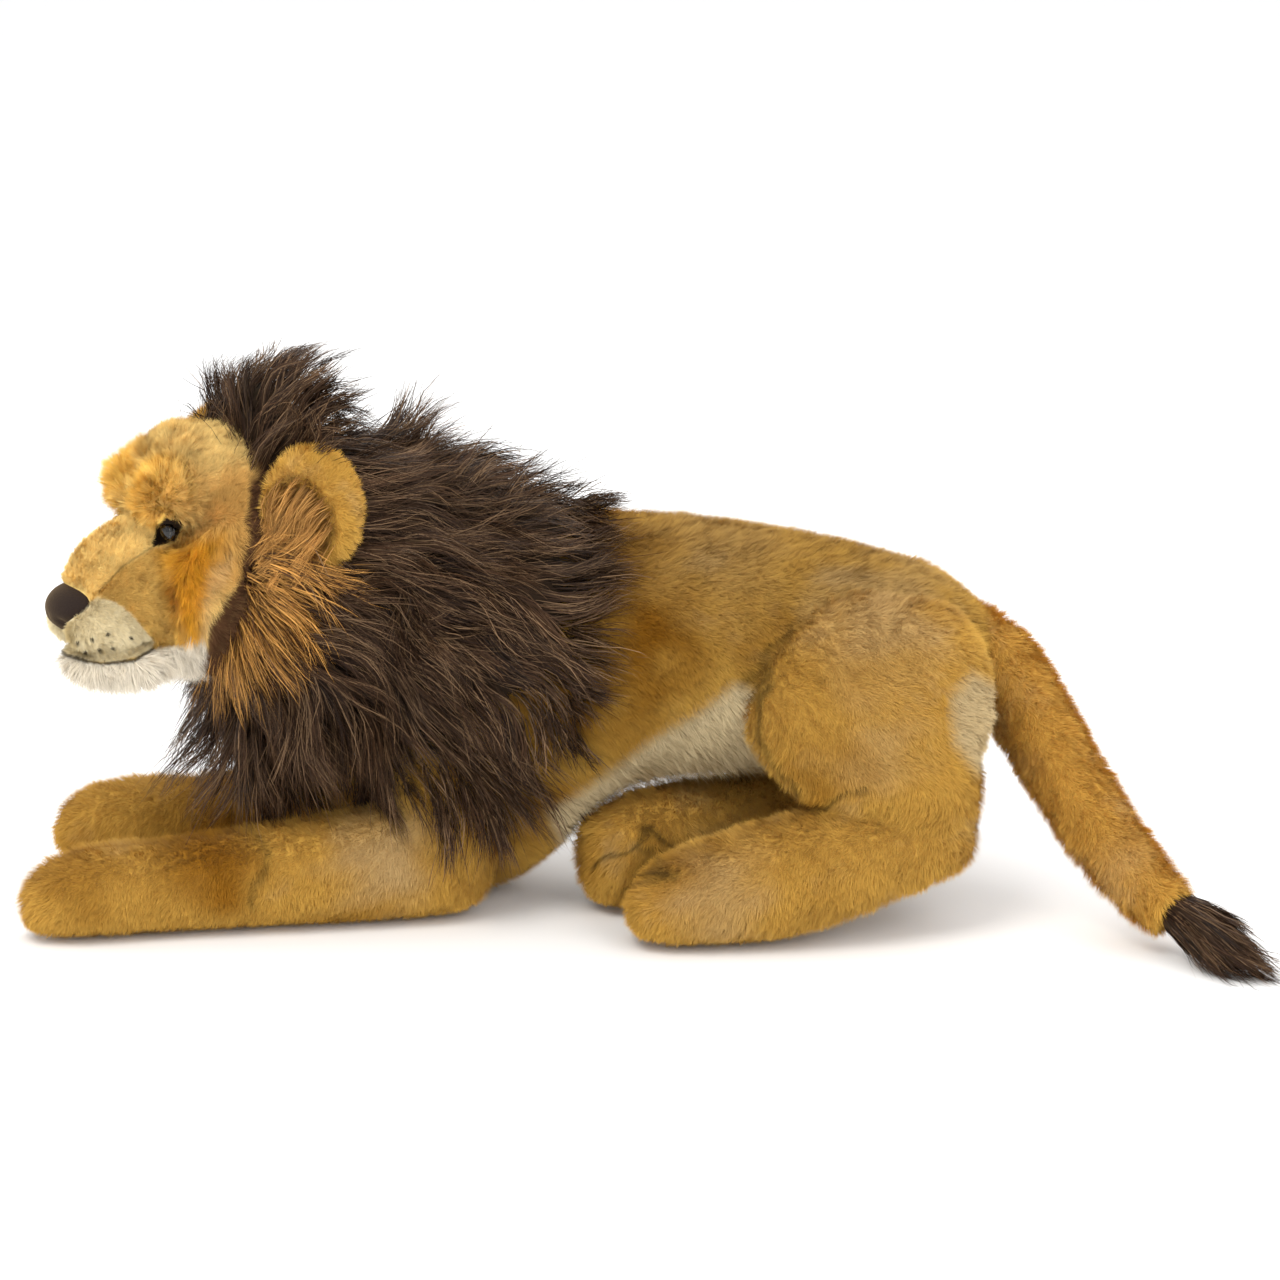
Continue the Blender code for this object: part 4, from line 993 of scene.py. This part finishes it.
def faceShade(points, normals):
    view, shares = faceView(points), headShares(points)
    left = np.abs(shares[:, 1])
    tones = {key: linear(value) for key, value in faceTones.items()}
    tone = np.broadcast_to(tones["forehead"], points.shape)
    tone = mixed(tone, tones["bridge"], smoothStep(shares[:, 0], 128, 140))
    tone = mixed(tone, tones["muzzleSide"], insideShare(view, faceLines["muzzleSide"], 3) * (left > 8))
    temple = smoothStep(left, 40, 62) * smoothStep(shares[:, 2], -10, 20)
    tone = mixed(tone, tones["temple"], temple * 0.8)
    blush = insideShare(view, faceLines["blush"], 13) * smoothStep(left, 18, 30)
    tone = mixed(tone, tones["cheek"], blush * 0.95)
    lump = browReach(shares[:, 0], left, shares[:, 2])
    tone = mixed(tone, tones["brow"], smoothStep(1.2 - lump, 0, 0.4) * 0.8)
    patchy = 1 + 0.05 * np.clip(waves(points, 26, 31), -2, 2) + 0.03 * waves(points, 9, 32)
    tone = tone * patchy[:, None]
    tone = mixed(tone, tones["fringe"], insideShare(view, faceLines["fringe"], 5) * (left > 30) * 0.35)
    pad = insideShare(view, faceLines["lipPad"], 1.2) * (shares[:, 0] > 118)
    tone = mixed(tone, tones["lipPad"], pad)
    under = np.maximum(insideShare(view, faceLines["chin"], 1.5), shares[:, 2] < -45)
    tone = mixed(tone, tones["chin"], under * (shares[:, 0] > 100))
    band = smoothStep(11 - edgeDistance(view, faceLines["band"]), 0, 5) * (shares[:, 0] < 124)
    crown = smoothStep(shares[:, 2], 74, 84) * smoothStep(shares[:, 0], 80, 88)
    band = np.maximum(band, insideShare(view, faceLines["behind"], 2)) * (1 - crown)
    tone = mixed(tone, tones["band"], band)
    # the mouth line is partly a dark stitched line and partly painted shade in its crease; the seam down
    # the bridge gets painted shade
    dark = smoothStep(2.2 - edgeDistance(view, faceLines["mouth"]), 0, 1.2) * 0.8
    dark = np.maximum(dark, smoothStep(1.6 - edgeDistance(view, faceLines["seam"]), 0, 1.6) * 0.35)
    for spot in whiskerDots:
        away = np.linalg.norm(view - spot, axis=1)
        dark = np.maximum(dark, smoothStep(2.4 - away, 0, 1.0) * 0.9)
    across, down = (view - eyeForm["view"]).T
    socket = smoothStep(11 - np.hypot(across * 1.15, down), 0, 2)
    patch = np.maximum(insideShare(view, faceLines["eyePatch"], 0.8), socket)
    dark = np.maximum(dark, patch * (left > 15))
    return mixed(tone, tones["dark"], dark * (shares[:, 0] > 110))


def faceFlow(points, normals):
    view, shares = faceView(points), headShares(points)
    side = np.sign(shares[:, 1:2])
    low = smoothStep(-30 - shares[:, 2], 0, 14)[:, None]
    cheek = insideShare(view, faceLines["cheek"], 8)[:, None] * (np.abs(shares[:, 1:2]) > 20)
    radial = unit(points - headPoint(214, 0, -6))
    down = -upright - headAhead * 0.55 + headLeft * side * 0.15
    return radial * (1 - cheek) + down * cheek - upright * low * 0.9


def faceClear(points):  # nothing grows over the eyes and nose
    view, shares = faceView(points), headShares(points)
    away = np.hypot((view[:, 0] - eyeForm["view"][0]) / 9.5, (view[:, 1] - eyeForm["view"][1]) / 11)
    nose = np.linalg.norm((shares - noseForm["place"]) / noseForm["halves"], axis=1)
    out = unit(np.array((*eyeForm["out"], 0)))
    near = np.stack([shares[:, 0], np.abs(shares[:, 1]), shares[:, 2]], 1) - eyeForm["place"]
    along = near @ out
    beside = np.linalg.norm(near - along[:, None] * out, axis=1)
    covered = (along > 1) & (beside < 7)
    return ((away > 1) | (np.abs(shares[:, 1]) < 15) | (shares[:, 0] < 100)) & (nose > 0.98) & ~covered


def makeHead():
    forms = []
    for ahead, left, up, halves, pitch in headForms:
        for side in ((1, -1) if left else (1,)):
            forms.append(addHeadBall(ahead, side * left, up, halves, pitch))
    skin = makeSkin("headSkin", forms, headSkin["voxel"], headSkin["smoothing"], goldBacking)

    def middle(points):  # the hollow between the brows, and the seam down each side of the bridge
        shares = headShares(points)
        brows = smoothStep(7 - np.abs(shares[:, 1]), 0, 7) * (shares[:, 2] > 48) * (shares[:, 0] > 112)
        seam = smoothStep(3 - edgeDistance(faceView(points), faceLines["seam"]), 0, 3)
        return np.maximum(brows, seam * (shares[:, 0] > 120) * 0.3)

    pressGroove(skin, middle, headSkin["groove"])
    dressSkin(skin, "head", "head", ["head"])
    tintSkin(skin, faceShade, goldBacking)
    replaced = {"forehead": (), "brow": ("brow",), "muzzle": ("muzzle",), "lipPad": ("lip_pad",),
                "cheek": ("cheek",), "chin": ("chin",), "band": ("face_band",),
                "eyePatch": ("eye_patch",)}
    for name, nodes in replaced.items():
        recipe = {**facePlain, **facePiles[name], "seed": 200 + 10 * len(name)}
        wanted = regionNames.index(name)
        paired = name in ("brow", "lipPad", "cheek", "eyePatch")
        for side in ((1, -1) if paired else (0,)):
            def weigh(points, normals):
                share = (faceRegion(points) == wanted) * 1.0
                return share * (headShares(points)[:, 1] * side >= 0) if side else share

            pieceName = f"{name}{sideName(side) if paired else ''}Pile"
            pile = growPile(pieceName, skin, recipe, faceFlow, faceShade, weigh, keep=faceClear)
            slotName = nodes[0] if nodes else "head"
            if paired:
                slotName = f"{nodes[0]}_{sideWord(side)}"
            dress(pile, "head", slotName, [slotName] if nodes else [])
    print("head done")


# nose and eyes
noseForm = {"place": (191, 0, -8), "halves": (22, 23, 17.5), "taper": 0.42, "dent": 3.0,
            "nostrils": ((204, 10, -13), (204, -10, -13))}
eyeForm = {"view": (166, 531.5), "place": (137.4, 35.4, 45), "out": (0.932, 0.362),
           "ring": 4.7, "wire": 0.22, "rise": 4.6}


def makeNose():
    nose = addHeadBall(*noseForm["place"], noseForm["halves"])
    pick(nose)
    bpy.ops.object.mode_set(mode="EDIT")
    bpy.ops.mesh.select_all(action="SELECT")
    bpy.ops.mesh.subdivide(number_cuts=1)
    bpy.ops.object.mode_set(mode="OBJECT")
    bpy.ops.object.transform_apply(location=True, rotation=True, scale=True)
    nose.name = "noseLeather"
    places = readPlaces(nose)
    shares = headShares(places)
    below = smoothStep(-8 - shares[:, 2], 0, 15)
    squeezed = shares[:, 1] * (1 - noseForm["taper"] * below)
    places = places + headLeft * ((squeezed - shares[:, 1]) * mm)[:, None]
    writePlaces(nose, places)

    def dents(points):
        near = headShares(points)
        share = smoothStep(3.4 - np.abs(near[:, 1]), 0, 3.4) * (near[:, 2] < -9) * 0.35
        for spot in noseForm["nostrils"]:
            away = np.linalg.norm((near - spot) * (0.6, 1, 0.8), axis=1)
            share = np.maximum(share, smoothStep(5 - away, 0, 5))
        return share

    pressGroove(nose, dents, noseForm["dent"])
    nose.data.materials.append(noseVelour)
    bpy.ops.object.shade_smooth()
    dress([nose], "head", "nose", ["nose"])
    print("nose done")


def makeEyes():
    for side in (1, -1):
        name = sideWord(side)
        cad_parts[f"eye_{name}"].material_slots[0].material = blackGloss
        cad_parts[f"eye_washer_{name}"].material_slots[0].material = washerPlastic
        ahead, out = eyeForm["out"]
        outward = unit(headAhead * ahead + headLeft * side * out)
        place = headPoint(eyeForm["place"][0], side * eyeForm["place"][1], eyeForm["place"][2])
        place = place + outward * eyeForm["rise"] * mm
        pickNone()
        bpy.ops.mesh.primitive_torus_add(major_radius=eyeForm["ring"] * mm,
                                         minor_radius=eyeForm["wire"] * mm,
                                         major_segments=40, minor_segments=10, location=place,
                                         rotation=Vector(outward).to_track_quat("Z", "Y").to_euler())
        ring = bpy.context.object
        bpy.ops.object.transform_apply(location=True, rotation=True, scale=True)
        ring.name = f"irisRing{sideName(side)}"
        ring.data.materials.append(silverRing)
        bpy.ops.object.shade_smooth()
        dress([ring], "head", f"eye_{name}")
    print("eyes done")


# ears
earForm = {"place": (59, 89, 61), "halves": (31, 13, 41), "lean": 25, "press": 14,
           "hollow": (0.80, 0.76), "shift": (10, 8), "voxel": 2, "smoothing": 2}
earTones = {"hollow": "#96682c", "rear": "#3c2818", "hair": "#bb8a4a", "hairDark": "#7e5526"}
earPile = dict(plushPlain, fibres=22000, seed=400, length=6.5, width=0.55, lift=42, swirl=22,
               swirlMm=18, stray=13, lock=0.7, lockMm=5, rootShade=0.8)
earHair = {"seed": 430, "steps": 5, "locks": 80, "fibres": 1500, "length": 32, "rise": 0.6, "waveMm": 26,
           "wander": 0.10, "curl": 0.05, "droop": 0.10, "clearance": 2.5,
           "looseShare": 0.12, "gather": 0.7, "spread": 2.0, "ripples": 1.3, "ripple": 0.6,
           "lockGrain": 0.14, "grain": 0.12, "rootShade": 0.5, "tipShade": 1.15, "width": 0.5}


def makeEar(side):
    ahead, left, up = earForm["place"]
    body = f"ear_{sideWord(side)}"
    lean = math.radians(earForm["lean"])
    along = -headAhead * math.cos(lean) + headLeft * side * math.sin(lean)
    outward = headAhead * math.sin(lean) + headLeft * side * math.cos(lean)
    form = addHeadBall(ahead, side * left, up, earForm["halves"], yaw=-side * earForm["lean"])
    skin = makeSkin(f"ear{sideName(side)}Skin", [form], earForm["voxel"], earForm["smoothing"],
                    goldBacking)
    centre = headPoint(ahead, side * left, up)

    def hollowShare(points):  # 1 in the middle of the cup, 0 on its rim
        away = (points - centre) / mm
        across = (away @ along + earForm["shift"][0]) / (earForm["halves"][0] * earForm["hollow"][0])
        high = (away[:, 2] + earForm["shift"][1]) / (earForm["halves"][2] * earForm["hollow"][1])
        return smoothStep(1.2 - np.hypot(across, high), 0, 0.7)

    places, normals = readPlaces(skin), readNormals(skin)
    front = smoothStep(normals @ outward, 0.0, 0.35)
    places = places - outward * (hollowShare(places) * front * earForm["press"] * mm)[:, None]
    writePlaces(skin, places)
    dressSkin(skin, body, body, [body])

    def flow(points, normals):
        away = points - centre
        return away + along * 0.02

    def shade(points, normals):
        tone = goldShade(points, 410, lean=-0.3) * 1.08
        # the cup is darker ochre, and its lower rear corner carries painted shade, the dark deep in the
        # hollow
        dark = hollowShare(points) * (normals @ outward > 0.1)
        away = (points - centre) / mm
        rear = dark * smoothStep(away @ along - 2, 0, 10) * smoothStep(-away[:, 2] - 6, 0, 10)
        tone = mixed(tone, linear(earTones["hollow"]), dark * 0.7)
        return mixed(tone, linear(earTones["rear"]), rear * 0.9)

    def length(points):
        return 1 - 0.45 * hollowShare(points)

    tintSkin(skin, shade, goldBacking)
    recipe = dict(earPile, seed=earPile["seed"] + side)
    pile = growPile(f"ear{sideName(side)}Pile", skin, recipe, flow, shade, length=length)
    dress(pile, body, body)

    def hairFlow(points):
        return headAhead * 0.75 - upright * 0.75 + outward * 0.10 + np.zeros_like(points)

    def hairShade(points, nearest, source):
        tones = linear(earTones["hair"]), linear(earTones["hairDark"])
        share = source.random(len(points)) ** 1.6
        return mixed(np.broadcast_to(tones[0], points.shape), tones[1], share)

    def hairWeigh(points, normals):
        away = (points - centre) / mm
        return hollowShare(points) * (normals @ outward > 0.05) * (away[:, 2] < 26)

    recipe = dict(earHair, seed=earHair["seed"] + side)
    hair = growStrands(f"ear{sideName(side)}Hair", skin, recipe, hairFlow, hairShade, [treeOf(skin)],
                       hairWeigh)
    lining = f"ear_lining_{sideWord(side)}"
    dress(hair, body, lining, [lining])
    print(body, "done")


# mane
maneMiddle = headPoint(80, 0, 24)
maneTones = {"brown": "#3b2819", "dark": "#25160c", "light": "#755c43",
             "tuft": "#bc8946", "tuftDark": "#7c5026"}
maneForm = {"voxel": 4, "neck": (82, 82, 82), "hood": (58, 0, 16), "hoodHalves": (38, 80, 116),
            "filling": (55, 55, 55), "fillingVoxel": 5}
maneRecipe = {"seed": 500, "steps": 6, "locks": 1700, "fibres": 23500, "length": 78, "rise": 0.42,
              "waveMm": 62, "wander": 0.20, "curl": 0.08, "droop": 0.14, "clearance": 7,
              "looseShare": 0.13, "gather": 0.80, "spread": 3.0, "ripples": 1.7, "ripple": 1.1,
              "lockGrain": 0.20, "grain": 0.14, "rootShade": 0.6, "tipShade": 1.2, "width": 0.64}
capeRecipe = dict(maneRecipe, seed=540, locks=1400, fibres=17200, length=60, rise=0.26)
cheekTuft = dict(maneRecipe, seed=580, locks=150, fibres=3400, length=76, clearance=10, rise=0.3,
                 droop=0.26, width=0.7, tipShade=1.15)
capeForm = [  # x, low, high, half width
    (-66, 140, 250, 50), (-60, 112, 305, 88), (-40, 104, 312, 97), (-10, 104, 306, 99),
    (20, 106, 295, 98), (50, 122, 286, 94), (72, 136, 279, 91), (80, 160, 255, 70)]


def maneFlow(points):  # outwards from the face all round, then back over the shoulders
    away = (points - maneMiddle) * (1, 0.3, 1)
    reach = np.linalg.norm(away, axis=1, keepdims=True)
    low = smoothStep(0.205 - points[:, 2], 0, 0.06)
    ahead = smoothStep(-0.12 - points[:, 0], 0, 0.05)
    back = np.stack([0.45 - low * (0.35 + 0.45 * ahead), 0 * low, -0.12 - 0.5 * low], 1)
    return away / np.maximum(reach, 1e-6) + back


def maneShade(roots, nearest, source):
    brown, dark, light = (linear(maneTones[key]) for key in ("brown", "dark", "light"))
    lockChance = np.random.default_rng(7).random(int(nearest.max()) + 1)[nearest]
    tone = mixed(np.broadcast_to(brown, roots.shape), dark, smoothStep(lockChance, 0.55, 0.9))
    return mixed(tone, light, (source.random(len(roots)) < 0.24) * 0.8)


def makeMane(bodySkins):  # the strands lie over the torso and front legs
    hoodForms = [addBall(neckPlace / mm, maneForm["neck"]),
                 addHeadBall(*maneForm["hood"], maneForm["hoodHalves"])]
    hood = makeSkin("hoodSkin", hoodForms, maneForm["voxel"], 3, brownBacking)
    dressSkin(hood, "head", "mane_ruff", ["mane_ruff"])
    cape = makeSkin("capeSkin", [addLoft(capeForm, sides=32)], maneForm["voxel"], 4, brownBacking)
    dressSkin(cape, "torso", "mane_cape", ["mane_cape"])
    filling = addBall(neckPlace / mm, maneForm["filling"])
    neck = makeSkin("neckSkin", [filling], maneForm["fillingVoxel"], 1, brownBacking)
    dressSkin(neck, "neck", "neck_filling", ["neck_filling"])
    trees = [treeOf(thing) for thing in (*bodySkins, hood, cape)]

    def hoodWeigh(points, normals):
        shares = headShares(points)
        low = smoothStep(shares[:, 2], -112, -95)
        front = (shares[:, 0] > 84) & (shares[:, 2] > -20) & (shares[:, 2] < 95)
        beard = 1 + 2.2 * smoothStep(0.215 - points[:, 2], 0, 0.05)
        return low * beard * np.where(front, 0.15, 1) * np.where(shares[:, 0] < -30, 0.4, 1)

    def hoodLength(points):
        top = smoothStep(points[:, 2], 0.30, 0.34)
        fore = smoothStep(-0.115 - points[:, 0], 0, 0.03)
        beard = smoothStep(0.20 - points[:, 2], 0, 0.05)
        return 1 - 0.12 * top - 0.30 * fore * top + 0.30 * beard + 0.10 * waves(points, 30, 77)

    hair = growStrands("ruffMane", hood, maneRecipe, maneFlow, maneShade, trees, hoodWeigh, hoodLength)
    dress(hair, "head", "mane_ruff")

    def capeWeigh(points, normals):
        front = smoothStep(points[:, 0], -0.066, -0.05)
        low = 1 + 2.0 * smoothStep(0.175 - points[:, 2], 0, 0.03)
        corner = smoothStep(points[:, 0], 0.03, 0.06) * smoothStep(0.165 - points[:, 2], 0, 0.03)
        return (front * low + 0.12) * (1 - corner)

    def capeLength(points):
        rear = smoothStep(points[:, 0], 0.03, 0.066)
        return 1 + smoothStep(0.19 - points[:, 2], 0, 0.05) * (0.12 - 0.42 * rear)

    hair = growStrands("capeMane", cape, capeRecipe, maneFlow, maneShade, trees, capeWeigh, capeLength)
    dress(hair, "torso", "mane_cape")

    for side in (1, -1):
        def tuftWeigh(points, normals):
            view, shares = faceView(points), headShares(points)
            near = smoothStep(24 - edgeDistance(view, faceLines["band"][4:]), 0, 12)
            return near * (shares[:, 1] * side > 30) * (shares[:, 2] < 28) + 1e-9

        def tuftFlow(points):
            away = points - headPoint(128, side * 55, 30)
            return unit(away * (1, 0.5, 1)) + np.array((0.35, 0, -0.35))

        def tuftShade(roots, nearest, source):
            strandChance = source.random(len(roots))
            tone = np.broadcast_to(linear(maneTones["tuft"]), roots.shape)
            tone = mixed(tone, linear(maneTones["tuftDark"]), smoothStep(strandChance, 0.35, 0.8))
            return mixed(tone, linear(maneTones["brown"]), (strandChance > 0.62) * 0.85)

        recipe = dict(cheekTuft, seed=cheekTuft["seed"] + side)
        tuft = growStrands(f"cheekTuft{sideName(side)}", hood, recipe, tuftFlow, tuftShade,
                           [treeOf(hood)], tuftWeigh)
        node = f"cheek_tuft_{sideWord(side)}"
        dress(tuft, "head", node, [node])
    print("mane done")


# tail tuft
tuftForm = {"start": (486, -136, 30), "reach": (36, -50, -12), "halves": (26, 15, 14), "pitch": 12}
tuftRecipe = dict(maneRecipe, seed=620, locks=110, fibres=2600, length=62, steps=5, rise=0.25,
                  droop=0.05, curl=0.03, wander=0.08, clearance=1.5, gather=0.75, spread=1.6,
                  width=0.75)


def makeTailTuft():
    start, reach = Vector(tuftForm["start"]), Vector(tuftForm["reach"])
    turn = math.degrees(math.atan2(reach.y, reach.x))
    core = addBall(tuple(start + reach * 0.25), tuftForm["halves"], (0, tuftForm["pitch"], turn))
    skin = makeSkin("tailTuftSkin", [core], 2.5, 2, brownBacking, floor=1)
    dressSkin(skin, "tail_end", "tail_tuft", ["tail_tuft"])

    def flow(points):
        way = np.array(reach.normalized())
        tip = np.array((start + reach * 1.9)) * mm
        return way + unit(tip - points) * 0.6

    hair = growStrands("tailTuftHair", skin, tuftRecipe, flow, maneShade, [treeOf(skin)])
    dress(hair, "tail_end", "tail_tuft")
    print("tail tuft done")


makeCameraAndLight()
frontSkins = [makeTorso(), makeFrontLeg(1), makeFrontLeg(-1)]
for side in (1, -1):
    makeHindLeg(side)
makeTail()
makeTailTuft()
makeHead()
makeNose()
makeEyes()
for side in (1, -1):
    makeEar(side)
makeMane(frontSkins)
